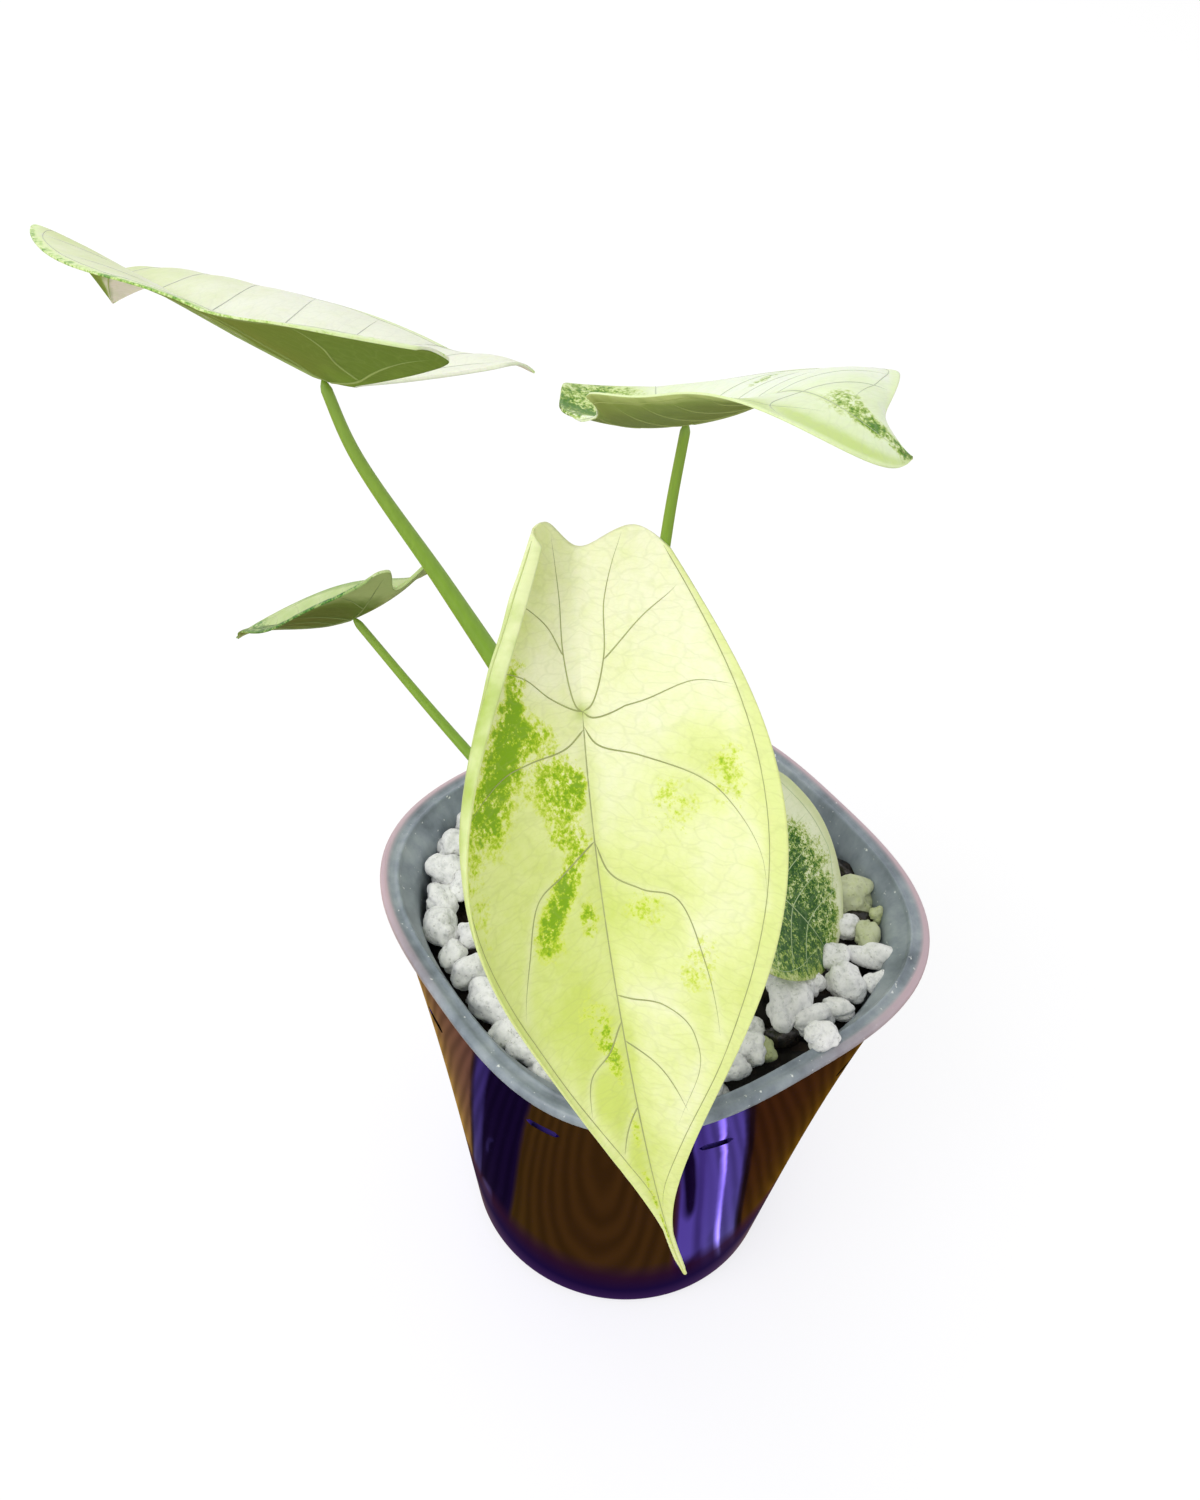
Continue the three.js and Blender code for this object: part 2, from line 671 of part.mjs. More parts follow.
const plant = new THREE.Group();
plant.add(named("cover_pot", coverPot(), FINISH.cover_pot));
plant.add(named("nursery_pot", nurseryPot(), FINISH.nursery_pot));
plant.add(named("substrate", substrate(), FINISH.substrate));
plant.add(named("stem_base", stemBase(), FINISH.stem_base));

const obstacles = [];
for (const leaf of LEAVES) {
  const stalk = petiole(leaf);
  const blade = plateGeometry(bladeRows(leaf), BLADE_THICKNESS);
  obstacles.push(toSolid(stalk), toSolid(blade));
  plant.add(named(`petiole_${leaf.name}`, stalk, FINISH.petiole));
  plant.add(named(`blade_${leaf.name}`, blade, { color: leaf.colour, roughness: 0.5, metalness: 0 }));
}
plant.add(named("perlite", topDressing(obstacles), FINISH.perlite));

export default plant;
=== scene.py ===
"""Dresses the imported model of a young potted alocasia: pots, potting mix, perlite, stalks, blades and veins.

Lengths in this file are millimetres and angles are degrees, unless a name says otherwise.
Meshes are written in metres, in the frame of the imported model.
"""

import math
from functools import lru_cache

import bmesh
import bpy
import numpy as np
from mathutils import Euler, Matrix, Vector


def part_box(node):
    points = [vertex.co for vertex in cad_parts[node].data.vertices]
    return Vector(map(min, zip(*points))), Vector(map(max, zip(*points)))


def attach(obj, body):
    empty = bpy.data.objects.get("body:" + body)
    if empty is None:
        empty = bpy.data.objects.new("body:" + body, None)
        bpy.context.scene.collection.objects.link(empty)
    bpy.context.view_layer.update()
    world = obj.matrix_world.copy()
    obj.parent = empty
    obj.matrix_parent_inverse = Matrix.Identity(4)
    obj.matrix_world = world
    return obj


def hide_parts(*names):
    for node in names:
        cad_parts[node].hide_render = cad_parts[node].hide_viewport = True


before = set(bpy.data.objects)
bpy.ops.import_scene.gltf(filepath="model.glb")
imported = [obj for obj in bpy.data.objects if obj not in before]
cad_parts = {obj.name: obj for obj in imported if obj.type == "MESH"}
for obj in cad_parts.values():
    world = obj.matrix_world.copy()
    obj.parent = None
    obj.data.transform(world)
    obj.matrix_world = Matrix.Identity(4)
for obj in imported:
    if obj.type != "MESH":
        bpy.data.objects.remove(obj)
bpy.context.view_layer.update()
MM = 0.001

bl_info = {
    "name": "Potted Alocasia",
    "version": (1, 0, 0),
    "blender": (4, 5, 0),
    "location": "View3D > Sidebar > Alocasia",
    "description": "Builds the pots, perlite, stalks and variegated blades of a young alocasia",
    "category": "Object",
}


def node_top(name):
    """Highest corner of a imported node."""
    return np.array(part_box(name)[1]) / MM


def linear(hex_colour):
    """An sRGB hex colour as linear red, green, blue and alpha."""
    value = np.array([int(hex_colour[k : k + 2], 16) for k in (1, 3, 5)]) / 255
    value = np.where(value <= 0.04045, value / 12.92, ((value + 0.055) / 1.055) ** 2.4)
    return (*map(float, value), 1.0)


# Driving sizes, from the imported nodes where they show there

COVER = dict(
    height=node_top("cover_pot")[2], top_half=node_top("cover_pot")[0], top_squareness=2.55, base_radius=28.5,
    wall=1.2, floor=1.6,
    foot_rounding=2.6, slots=9, slot_height=70, slot_length=5.6, slot_width=2.2, first_slot=-19,
)
NURSERY = dict(
    rim_half=node_top("nursery_pot")[0], rim_top=node_top("nursery_pot")[2], lip_height=2.1, lip_width=1.6,
    shoulder_half=36.8, wall_half=37.1, base_half=24.5, base_height=4, floor=1.2, wall=1,
    rim_squareness=2.93, wall_squareness=2.5, base_squareness=2.05,
    drain_holes=4, drain_radius=3.2, drain_offset=13,
)
GAP = 0.3
SOIL_TOP = 75
STEM = dict(radius=7, neck_radius=6.4, bottom=58.5, top=79.5)
DRESSING = dict(
    thickness=1.4, grains=104, smallest=2.2, largest=3.8, closeness=0.86, attempts=6000, seed=41, hole_radius=9.2,
    wall_clearance=1.28, stem_clearance=1.1, stand=0.45,
)
TIP_HALF_WIDTH = 0.5

LEAVES = {
    "front": dict(
        attach=(11.1, -24.2, 143.1), turn=-116.4, tilt=-36.2, roll=26.8,
        length=87, lobe=23, notch=21.5, corner=17.6, half_width=24.3, right_share=0.81,
        back_width=0.55, widest=0.31, shoulder=1.96, taper=3.33,
        bend=54, hook=7, lift=-17, lift_power=1, sweep=14, twist=-8,
        waves=1.89, roll_start=0.74, roll_end=0.76,
        right=dict(slopes=(64, 40, 8), arch=19, curl=140, lobe_curl=-5, wave=-2.6, phase=0.12),
        left=dict(slopes=(19, 3, 14), arch=-4, curl=3, lobe_curl=-4, wave=-1.2, phase=0.04),
        foot=(3.4, -2.9), lean=((4.6, -5, 96), (6.4, -12, 124)), radii=(2.3, 1.5),
    ),
    "upper_left": dict(
        attach=(-45.9, -29.5, 161.6), turn=105.5, tilt=1.8, roll=31.6,
        length=81, lobe=26.7, notch=4, corner=26.7, half_width=24.5, right_share=1.02,
        back_width=0.55, widest=0.14, shoulder=2.21, taper=0.87,
        bend=5, hook=27.6, lift=30, lift_power=0.45, sweep=57.5, twist=4,
        waves=1.6, roll_start=0.7, roll_end=0.89,
        right=dict(slopes=(46, 35, 30), arch=-35, curl=3, lobe_curl=-26, wave=-0.6, phase=0.11),
        left=dict(slopes=(25, 15, 31), arch=-17, curl=-11, lobe_curl=-8, wave=-1.7, phase=0.3),
        foot=(-4.4, -0.8), radii=(2.65, 0.8),
        lean=((-8.4, -1.9, 86.4), (-21.9, -10.8, 111.9), (-32.9, -18.6, 131.5), (-42.3, -27.2, 151.5)),
    ),
    "upper_right": dict(
        attach=(-11.2, 5.8, 163.1), turn=-81.2, tilt=31.6, roll=48.4,
        length=47.8, lobe=19.4, notch=19.4, corner=15.4, half_width=16.9, right_share=1,
        back_width=0.49, widest=0.37, shoulder=2.32, taper=0.96,
        bend=-61, hook=166, lift=66, lift_power=1, sweep=45, twist=46,
        waves=1.51, roll_start=0.7, roll_end=0.87,
        right=dict(slopes=(83, 45, -4), arch=30, curl=8, lobe_curl=-65, wave=0.9, phase=-0.16),
        left=dict(slopes=(-44, -17, -21), arch=-39, curl=19, lobe_curl=3, wave=-1.7, phase=0.51),
        foot=(-2.6, 3.7), lean=((-6.5, 4.6, 94), (-10.9, 3.6, 122), (-11.8, 4.9, 147)), radii=(1.5, 0.7),
    ),
    "small_left": dict(
        attach=(-46.9, -27.4, 119.6), turn=112, tilt=-37, roll=5,
        length=33.9, lobe=18.1, notch=12.3, corner=15.8, half_width=10.7, right_share=1,
        back_width=0.59, widest=0.36, shoulder=1.93, taper=1.19,
        bend=-22, hook=35, lift=25, lift_power=1, sweep=2, twist=2,
        waves=1.5, roll_start=0.7, roll_end=0.9,
        right=dict(slopes=(-2, 18, 11), arch=-2, curl=1, lobe_curl=-1, wave=-0.3, phase=-0.14),
        left=dict(slopes=(40, 36, 22), arch=-20, curl=-42, lobe_curl=-1, wave=-0.45, phase=0.45),
        foot=(-1.2, -4.4), radii=(1.35, 0.65),
        lean=((-4.6, -6.2, 82), (-17, -12.1, 91.3), (-33.5, -20.2, 105.6)),
    ),
    "small_right": dict(
        attach=(8.7, 10, 94.3), turn=-54.4, tilt=-33, roll=-1.7,
        length=23.9, lobe=12, notch=9, corner=10, half_width=19, right_share=1,
        back_width=0.63, widest=0.34, shoulder=2.21, taper=0.83,
        bend=7, hook=35, lift=-1, lift_power=1, sweep=6.5, twist=1,
        waves=1.56, roll_start=0.7, roll_end=0.9,
        right=dict(slopes=(5.5, 8.3, 2), arch=1, curl=0.5, lobe_curl=0, wave=-0.2, phase=0),
        left=dict(slopes=(18, 4.5, 8), arch=11, curl=10, lobe_curl=1, wave=0.4, phase=0.38),
        foot=(3.6, 2.9), lean=((5.2, 5.1, 83), (7.6, 8.6, 89.5)), radii=(1.3, 0.8),
    ),
}

# Markings. A spot is (station, side, half length, half width, slant, amount): a station is 0 at the stalk,
# 1 at the tip and -1 at the end of a back lobe, a side is 0 on the midrib, 1 and -1 at the margins.

MARKINGS = {
    "front": dict(
        rows=240, columns=80, cream="#ecedcb", pale="#dfe6a0", lime="#c9d66c", margin="#d5df90", knot="#b3c45a",
        greens=("#d3de62", "#b9cf2c", "#9cbd14", "#7fa908"), below_pale="#dfe7b0", below_green="#a9bf55",
        vein="#a3aa6c", below_vein="#c3d184", tone_base=0.14, quilt=0.26, flake=1.3,
        tone=(
            (0.5, 0, 0.42, 1.4, 0, 0.16), (0.32, 0.55, 0.3, 0.5, 0, 0.42), (0.85, 0, 0.32, 1.3, 0, 0.42), (0.55, 0.3, 0.25, 0.5, 0, 0.3),
            (-0.6, 0.7, 0.4, 0.35, 0, 0.22), (0.1, -0.95, 0.5, 0.1, 0, 0.3), (0.27, -0.25, 0.08, 0.3, 0, 0.45),
            (0.11, -0.62, 0.07, 0.3, 0, 0.4), (0.4, -0.75, 0.08, 0.2, 0, 0.35), (0.48, 0.05, 0.06, 0.15, 0, 0.5),
        ),
        mottle=(
            (-0.08, 0.56, 0.16, 0.1, 0, 0.75), (0.05, 0.58, 0.065, 0.2, 0, 0.75), (0.125, 0.68, 0.055, 0.13, 0, 0.75),
            (0.14, 0.74, 0.03, 0.08, 0, 0.3), (0.035, 0.36, 0.022, 0.16, 0, 0.5), (0.105, 0.22, 0.048, 0.18, 0, 0.72),
            (0.105, 0.07, 0.028, 0.06, 0, 0.5), (0.17, 0.18, 0.024, 0.15, 0, 0.55), (0.245, 0.27, 0.06, 0.1, 3.0, 1.0),
            (0.285, 0.12, 0.026, 0.08, 0, 0.62), (0.3, 0.45, 0.035, 0.14, 0, 0.42), (0.43, 0.25, 0.06, 0.18, 0, 0.36),
            (0.49, 0.17, 0.05, 0.12, 0, 0.52), (0.11, -0.75, 0.05, 0.12, 0, 0.42), (0.28, -0.24, 0.035, 0.16, 0, 0.38),
            (0.82, 0.35, 0.16, 0.22, 0, 0.5), (0.62, 0.15, 0.04, 0.12, 0, 0.4), (0.2, 0.85, 0.1, 0.1, 0, 0.35),
            (0.14, -0.45, 0.05, 0.15, 0, 0.34), (0.36, -0.6, 0.05, 0.14, 0, 0.33),
        ),
        below=((0.1, 0.6, 0.6, 0.5, 0, 0.5),),
    ),
    "upper_left": dict(
        rows=200, columns=70, cream="#dfe2cf", pale="#d3dab0", lime="#c0cf7c", margin="#d3e6a0", knot="#a9c46a",
        greens=("#cfe09a", "#aecb6c", "#84ae44", "#568a2c"), below_pale="#d8d0bd", below_green="#748f2a",
        vein="#b2b8a4", below_vein="#98ab58", tone_base=0.05, quilt=0.22, flake=1.8,
        tone=((0.95, 0, 0.5, 1.4, 0, 0.75), (0.3, -0.7, 1.1, 0.4, 0, 0.35)),
        mottle=((-0.85, -0.7, 0.25, 0.25, 0, 0.5), (0.2, -1, 1.0, 0.07, 0, 0.6), (0.98, 0, 0.06, 1.2, 0, 0.45)),
        below=((0.0, -0.62, 1.6, 0.58, 0, 1.3), (0.02, 0, 0.12, 0.4, 0, 0.8)),
    ),
    "upper_right": dict(
        rows=150, columns=60, cream="#e2e9d5", pale="#d8e4b8", lime="#c3d684", margin="#dcebb4", knot="#b4cc70",
        greens=("#c3d28a", "#9fb85c", "#7b9a38", "#4d7c22"), below_pale="#b9c47a", below_green="#7f9140",
        vein="#b0bb9c", below_vein="#9dab5c", tone_base=0.1, quilt=0.18, flake=1.2,
        tone=((0.5, 0.8, 0.7, 0.35, 0, 0.8), (0.8, 0, 0.25, 1, 0, 0.35), (-0.8, -0.2, 0.5, 0.8, 0, 0.7)),
        mottle=(
            (0.8, -0.14, 0.11, 0.26, 0, 0.62), (0.92, -0.1, 0.06, 0.3, 0, 0.6), (0.14, -0.52, 0.03, 0.2, -0.1, 0.6),
            (0.98, 0, 0.03, 1, 0, 0.8), (-0.82, -0.2, 0.3, 0.7, 0, 0.85), (-0.9, 0.5, 0.3, 0.5, 0, 0.7),
        ),
        below=((0.0, 0.4, 1.5, 0.5, 0, 1.1), (-0.3, -0.2, 0.8, 0.7, 0, 0.75)),
    ),
    "small_left": dict(
        rows=100, columns=36, cream="#d5dfb0", pale="#b9cb8a", lime="#9cb65e", margin="#7f9f50", knot="#8fa658",
        greens=("#a6bc74", "#6f9a48", "#427f2c", "#2a6420"), below_pale="#9aa867", below_green="#586f22",
        vein="#b9c892", below_vein="#7f9150", tone_base=0.25, quilt=0.12, flake=0.9,
        tone=((0, 0.5, 1.2, 0.6, 0, 0.3),),
        mottle=((0.2, -0.8, 1.2, 0.4, 0, 0.9), (0.9, 0, 0.2, 1, 0, 0.8)),
        below=((0.3, -0.6, 0.6, 0.5, 0, 1.2), (-0.1, -0.2, 0.4, 0.4, 0, 0.6)),
    ),
    "small_right": dict(
        rows=110, columns=60, cream="#e2e6c8", pale="#cbd3a4", lime="#a9b860", margin="#c5cc98", knot="#9db868",
        greens=("#aebc5c", "#86a034", "#44761a", "#1f4f0c"), below_pale="#b4c27c", below_green="#5d8a2c",
        vein="#b4c894", below_vein="#8fa658", tone_base=0.15, quilt=0.12, flake=0.75,
        tone=((0.2, 0.5, 0.9, 0.5, 0, 0.7), (0.75, 0.85, 0.3, 0.3, 0, 0.5)),
        mottle=(
            (0.58, -0.38, 0.42, 0.48, 0, 0.74), (0.25, -0.4, 0.16, 0.34, 0, 0.4), (0.6, 0.45, 0.55, 0.58, 0, 1.0),
            (0.1, 0.3, 0.3, 0.4, 0, 0.4),
        ),
        below=((0.2, 0, 0.8, 0.8, 0, 0.9),),
    ),
}

# Veins as short lists of (station, side), given where they show, and by a rule elsewhere.

FRONT_VEINS = (
    ((0, 0), (-0.03, -0.06), (-0.28, -0.17), (-0.59, -0.22), (-0.8, -0.33), (-0.97, -0.48)),
    ((-0.26, -0.165), (-0.46, -0.47), (-0.58, -0.8)),
    ((0, 0), (0.01, -0.06), (-0.01, -0.35), (-0.07, -0.67), (-0.02, -0.9)),
    ((0.02, 0), (0.045, -0.06), (0.07, -0.3), (0.11, -0.6), (0.14, -0.72), (0.22, -0.88), (0.28, -0.92)),
    ((0.18, 0), (0.22, -0.05), (0.25, -0.23), (0.27, -0.45), (0.35, -0.62), (0.46, -0.84)),
    ((0.4, 0), (0.405, -0.1), (0.415, -0.37), (0.46, -0.65), (0.52, -0.77), (0.6, -0.7)),
    ((0.47, 0), (0.51, -0.35), (0.58, -0.78)),
    ((0, 0), (-0.03, 0.05), (-0.3, 0.15), (-0.6, 0.22), (-0.8, 0.33), (-0.94, 0.45)),
    ((-0.29, 0.148), (-0.42, 0.3), (-0.48, 0.5), (-0.5, 0.85)),
    ((0, 0), (-0.01, 0.07), (-0.06, 0.25), (-0.14, 0.48), (-0.14, 0.88)),
    ((0.025, 0), (0.05, 0.13), (0.07, 0.4), (0.09, 0.6), (0.15, 0.88)),
    ((0.18, 0), (0.22, 0.25), (0.25, 0.45), (0.32, 0.62), (0.4, 0.86)),
    ((0.44, 0), (0.48, 0.18), (0.52, 0.58), (0.58, 0.86)),
    ((0.58, 0), (0.62, 0.35), (0.66, 0.7)),
)
LATERALS = ((0.03, 0.12), (0.16, 0.29), (0.31, 0.45), (0.47, 0.6), (0.63, 0.74))
LOBE_VEINS = (((0, 0), (-0.35, 0.2), (-0.92, 0.5)), ((-0.3, 0.175), (-0.42, 0.45), (-0.5, 0.86)))


# Settings that a user may change


class PotSettings(bpy.types.PropertyGroup):
    mirror_colour: bpy.props.FloatVectorProperty(
        name="Mirror colour", description="Tint of the metallised cover pot", subtype="COLOR", size=4,
        min=0, max=1, default=linear("#7f5fd6"),
    )
    grey_colour: bpy.props.FloatVectorProperty(
        name="Smoke grey", description="Colour of the translucent nursery pot", subtype="COLOR", size=4,
        min=0, max=1, default=linear("#87919a"),
    )
    segments: bpy.props.IntProperty(
        name="Segments", description="Steps round the pots", default=180, min=72, max=360, step=36,
    )


class DressingSettings(bpy.types.PropertyGroup):
    grain_colour: bpy.props.FloatVectorProperty(
        name="Perlite", description="Colour of a clean grain", subtype="COLOR", size=4,
        min=0, max=1, default=linear("#ebebea"),
    )
    mix_colour: bpy.props.FloatVectorProperty(
        name="Mix", description="Colour of the moist potting mix", subtype="COLOR", size=4,
        min=0, max=1, default=linear("#1e1813"),
    )
    crumbs: bpy.props.IntProperty(
        name="Crumbs", description="Small grains strewn between the large ones", default=170, min=0, max=500,
    )


class FoliageSettings(bpy.types.PropertyGroup):
    blade_thickness: bpy.props.FloatProperty(
        name="Blade thickness", description="Thickness along the midrib, in metres", default=0.5 * MM,
        min=0.3 * MM, max=0.8 * MM, unit="LENGTH", precision=5,
    )
    stalk_colour: bpy.props.FloatVectorProperty(
        name="Stalks", description="Fresh green of the stalks", subtype="COLOR", size=4,
        min=0, max=1, default=linear("#86ad33"),
    )
    vein_width: bpy.props.FloatProperty(
        name="Vein width", description="Width of a main side vein on the upper side, in metres",
        default=0.22 * MM, min=0.1 * MM, max=0.8 * MM, unit="LENGTH", precision=5,
    )


class StudioSettings(bpy.types.PropertyGroup):
    sky: bpy.props.FloatProperty(
        name="Sky", description="Strength of the even white surround", default=0.84, min=0, max=3,
    )
    key_power: bpy.props.FloatProperty(
        name="Key light", description="Power of the large soft light", default=5.2, min=0, unit="POWER",
    )
    focal_length: bpy.props.FloatProperty(
        name="Focal length", description="Lens in millimetres for a 36 mm sensor", default=34.18, min=10, max=200,
    )


SETTINGS = (PotSettings, DressingSettings, FoliageSettings, StudioSettings)


# Nodes and meshes


def add_node(tree, kind, inputs=None, stops=None, **settings):
    """Adds a node with its settings, its sockets' values or links, and the stops of its colour ramp."""
    node = tree.nodes.new("ShaderNode" + kind)
    for name, value in settings.items():
        setattr(node, name, value)
    if stops:
        ramp = node.color_ramp.elements
        ramp[0].position, ramp[0].color = stops[0]
        ramp[1].position, ramp[1].color = stops[-1]
        for place, colour in stops[1:-1]:
            ramp.new(place).color = colour
    for name, value in (inputs or {}).items():
        if isinstance(value, bpy.types.NodeSocket):
            tree.links.new(value, node.inputs[name])
        else:
            node.inputs[name].default_value = value
    return node


def new_material(name):
    """A material with an empty Principled surface: the material, its tree and that shader."""
    material = bpy.data.materials.new(name)
    material.use_nodes = True
    return material, material.node_tree, material.node_tree.nodes["Principled BSDF"]


def per_metre(size):
    """Scale that makes a texture's features about size mm wide on Object coordinates."""
    return 1 / (size * MM)


def grid_faces(rows, columns, start=0, wrap=False, flip=False):
    """Quads over points laid row after row. Wrap joins the last column to the first."""
    i = np.arange(rows - 1)[:, None]
    j = np.arange(columns if wrap else columns - 1)[None, :]
    k = (j + 1) % columns
    corners = np.broadcast_arrays(i * columns + j, i * columns + k, (i + 1) * columns + k, (i + 1) * columns + j)
    quads = np.stack(corners, -1).reshape(-1, 4) + start
    return quads[:, ::-1] if flip else quads


def fan_faces(ring, pole, flip=False):
    """Triangles from each step of a closed ring of point numbers to one pole."""
    faces = np.stack([ring, np.roll(ring, -1), np.full_like(ring, pole)], 1)
    return faces[:, ::-1] if flip else faces


def closed_tube(path, sideways, upward, widths, heights, sides):
    """Points and faces of a tube: at each point of the path an ellipse widths by heights, spanned by the
    sideways and upward directions, with a point on the path closing either end."""
    turn = np.linspace(0, 2 * np.pi, sides, endpoint=False)
    ring = path[:, None] + sideways[:, None] * (widths[:, None] * np.cos(turn))[..., None]
    ring = ring + upward[:, None] * (heights[:, None] * np.sin(turn))[..., None]
    points = np.concatenate([ring.reshape(-1, 3), path[:1], path[-1:]])
    first = np.arange(sides)
    last = first + (len(path) - 1) * sides
    count = len(path) * sides
    return points, [grid_faces(len(path), sides, wrap=True), fan_faces(first, count, True), fan_faces(last, count + 1)]


def join(parts):
    """One body of points and faces out of several."""
    points, faces, start = [], [], 0
    for part_points, part_faces in parts:
        points.append(part_points)
        faces += [group + start for group in part_faces]
        start += len(part_points)
    return np.concatenate(points), faces


def make_piece(name, points, faces, materials, slot, nodes=(), face_material=None, masks=None, sharp=None, weld=False):
    """Writes points in mm and groups of faces into one smooth mesh in metres that rides on the root."""
    mesh = bpy.data.meshes.new(name)
    mesh.from_pydata((points * MM).tolist(), [], [face for group in faces for face in group.tolist()])
    for label, values in (masks or {}).items():
        attribute = mesh.attributes.new(label, "FLOAT_COLOR", "POINT")
        attribute.data.foreach_set("color", np.asarray(values, np.float32).ravel())
    if weld:
        edit = bmesh.new()
        edit.from_mesh(mesh)
        bmesh.ops.remove_doubles(edit, verts=edit.verts, dist=1e-3 * MM)
        edit.to_mesh(mesh)
        edit.free()
    for material in materials:
        mesh.materials.append(material)
    if face_material is not None:
        mesh.polygons.foreach_set("material_index", np.asarray(face_material, np.int32))
    mesh.shade_smooth()
    if sharp:
        mesh.set_sharp_from_angle(angle=math.radians(sharp))
    piece = bpy.data.objects.new(name, mesh)
    bpy.context.scene.collection.objects.link(piece)
    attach(piece, "root")
    if nodes:
        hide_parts(*nodes)
    return piece


# Curves and forms


def smooth_route(places, count):
    """Points at even spacing on the centripetal Catmull-Rom curve through the places: between two places a
    cubic whose end slopes weigh the neighbouring chords by the square root of their lengths."""
    places = np.asarray(places, float)
    ends = [2 * places[0] - places[1], 2 * places[-1] - places[-2]]
    line = np.concatenate([ends[:1], places, ends[1:]])
    gap = np.sqrt(np.linalg.norm(np.diff(line, axis=0), axis=1))[:, None]
    p0, p1, p2, p3 = line[:-3], line[1:-2], line[2:-1], line[3:]
    d0, d1, d2 = gap[:-2], gap[1:-1], gap[2:]
    slope1 = ((p1 - p0) / d0 - (p2 - p0) / (d0 + d1) + (p2 - p1) / d1) * d1
    slope2 = ((p2 - p1) / d1 - (p3 - p1) / (d1 + d2) + (p3 - p2) / d2) * d1
    t = np.linspace(0, 1, 40)[:, None, None]
    cubic = p1 + slope1 * t + (3 * (p2 - p1) - 2 * slope1 - slope2) * t**2 + (2 * (p1 - p2) + slope1 + slope2) * t**3
    dense = np.concatenate([cubic.transpose(1, 0, 2).reshape(-1, places.shape[1])])
    length = np.concatenate([[0], np.cumsum(np.linalg.norm(np.diff(dense, axis=0), axis=1))])
    even = np.linspace(0, length[-1], count)
    return np.stack([np.interp(even, length, dense[:, k]) for k in range(places.shape[1])], 1)


def squircle(half, squareness, angle):
    """Distance from the axis to a squircle: half / (|cos|^n + |sin|^n)^(1/n)."""
    return half / (np.abs(np.cos(angle)) ** squareness + np.abs(np.sin(angle)) ** squareness) ** (1 / squareness)


def squircle_rings(levels, segments):
    """Squircle rings (half width, z, squareness) from low to high, and the faces between them."""
    half, z, squareness = (np.array(column, float)[:, None] for column in zip(*levels))
    angle = np.linspace(0, 2 * np.pi, segments, endpoint=False)[None]
    radius = squircle(half, squareness, angle)
    ring = np.stack([radius * np.cos(angle), radius * np.sin(angle), np.broadcast_to(z, radius.shape)], -1)
    return ring.reshape(-1, 3), [grid_faces(len(levels), segments, wrap=True)]


def squircle_form(levels, segments):
    """A closed form of squircle rings, from its lower pole round to its upper one."""
    ring, faces = squircle_rings(levels, segments)
    poles = np.array([[0, 0, levels[0][1]], [0, 0, levels[-1][1]]])
    first = np.arange(segments)
    faces += [fan_faces(first, len(ring), True), fan_faces(first + len(ring) - segments, len(ring) + 1)]
    return np.concatenate([ring, poles]), faces


def rounded(corner, radius, start, end, steps=6):
    """Points of an arc in the plane of half width and height round a centre, from angle start to end."""
    angle = np.radians(np.linspace(start, end, steps))
    return [(corner[0] + radius * math.cos(a), corner[1] + radius * math.sin(a)) for a in angle]


def capsule_reach(angle, half_length, radius):
    """Distance from the middle of a slot with round ends to its outline in the direction of an angle."""
    sine, cosine = np.abs(np.sin(angle)), np.abs(np.cos(angle))
    straight = radius / np.maximum(sine, 1e-9)
    round_end = half_length * cosine + np.sqrt(np.maximum(radius**2 - (half_length * sine) ** 2, 0))
    return np.where(straight * cosine <= half_length, straight, round_end)


def punched_sheet(place, along, across, holes, wrap, flip=False):
    """A sheet place(along, across) over a grid, with holes. A hole is (first and last row, first and last
    column, outline), and the cells inside its block give way to rings that run from the block's border to the
    outline(angle), which gives the place round the block's middle in the grid's own two values."""
    rows, columns = len(along), len(across)
    grid = place(*np.meshgrid(along, across, indexing="ij")).reshape(-1, 3)
    width = columns if wrap else columns - 1
    faces = grid_faces(rows, columns, wrap=wrap, flip=flip)
    keep = np.ones((rows - 1, width), bool)
    points, rims, start = [grid], [], len(grid)
    extra = []
    for row0, row1, column0, column1, outline in holes:
        keep[row0:row1, column0:column1] = False
        i = np.concatenate([
            np.full(column1 - column0, row0), np.arange(row0, row1), np.full(column1 - column0, row1),
            np.arange(row1, row0, -1),
        ])
        j = np.concatenate([
            np.arange(column0, column1), np.full(row1 - row0, column1), np.arange(column1, column0, -1),
            np.full(row1 - row0, column0),
        ])
        border = np.stack([along[i], across[j]])
        middle = np.array([(along[row0] + along[row1]) / 2, (across[column0] + across[column1]) / 2])[:, None]
        inner = outline(border - middle) + middle
        shares = np.array([0.0, 0.3, 0.62, 1.0])
        rings = border[:, None] + (inner - border)[:, None] * shares[None, :, None]
        points.append(place(rings[0], rings[1]).reshape(-1, 3))
        extra.append(grid_faces(len(shares), len(i), start, wrap=True, flip=flip))
        rims.append(np.arange(len(i)) + start + (len(shares) - 1) * len(i))
        start += len(shares) * len(i)
    return np.concatenate(points), [faces[keep.ravel()], *extra], rims


# Blades


def bell(x, width):
    return np.exp(-((x / width) ** 2))


def blend_three(v, back, middle, tip):
    """The parabola through back at v 0, middle at v 0.45 and tip at v 1."""
    at = 0.45
    return back * (v - at) * (v - 1) / at + middle * v * (v - 1) / (at * (at - 1)) + tip * v * (v - at) / (1 - at)


def width_share(leaf, v):
    """Half width as a share of the widest: a sine that rises from the back to the widest place, and then
    (1 - q^shoulder)^taper with q from 0 there to 1 at the tip."""
    rise = leaf["back_width"] + (1 - leaf["back_width"]) * np.sin(np.pi / 2 * np.clip(v / leaf["widest"], 0, 1))
    q = np.clip((v - leaf["widest"]) / (1 - leaf["widest"]), 0, 1)
    return np.where(v < leaf["widest"], rise, np.maximum(1 - q ** leaf["shoulder"], 0) ** leaf["taper"])


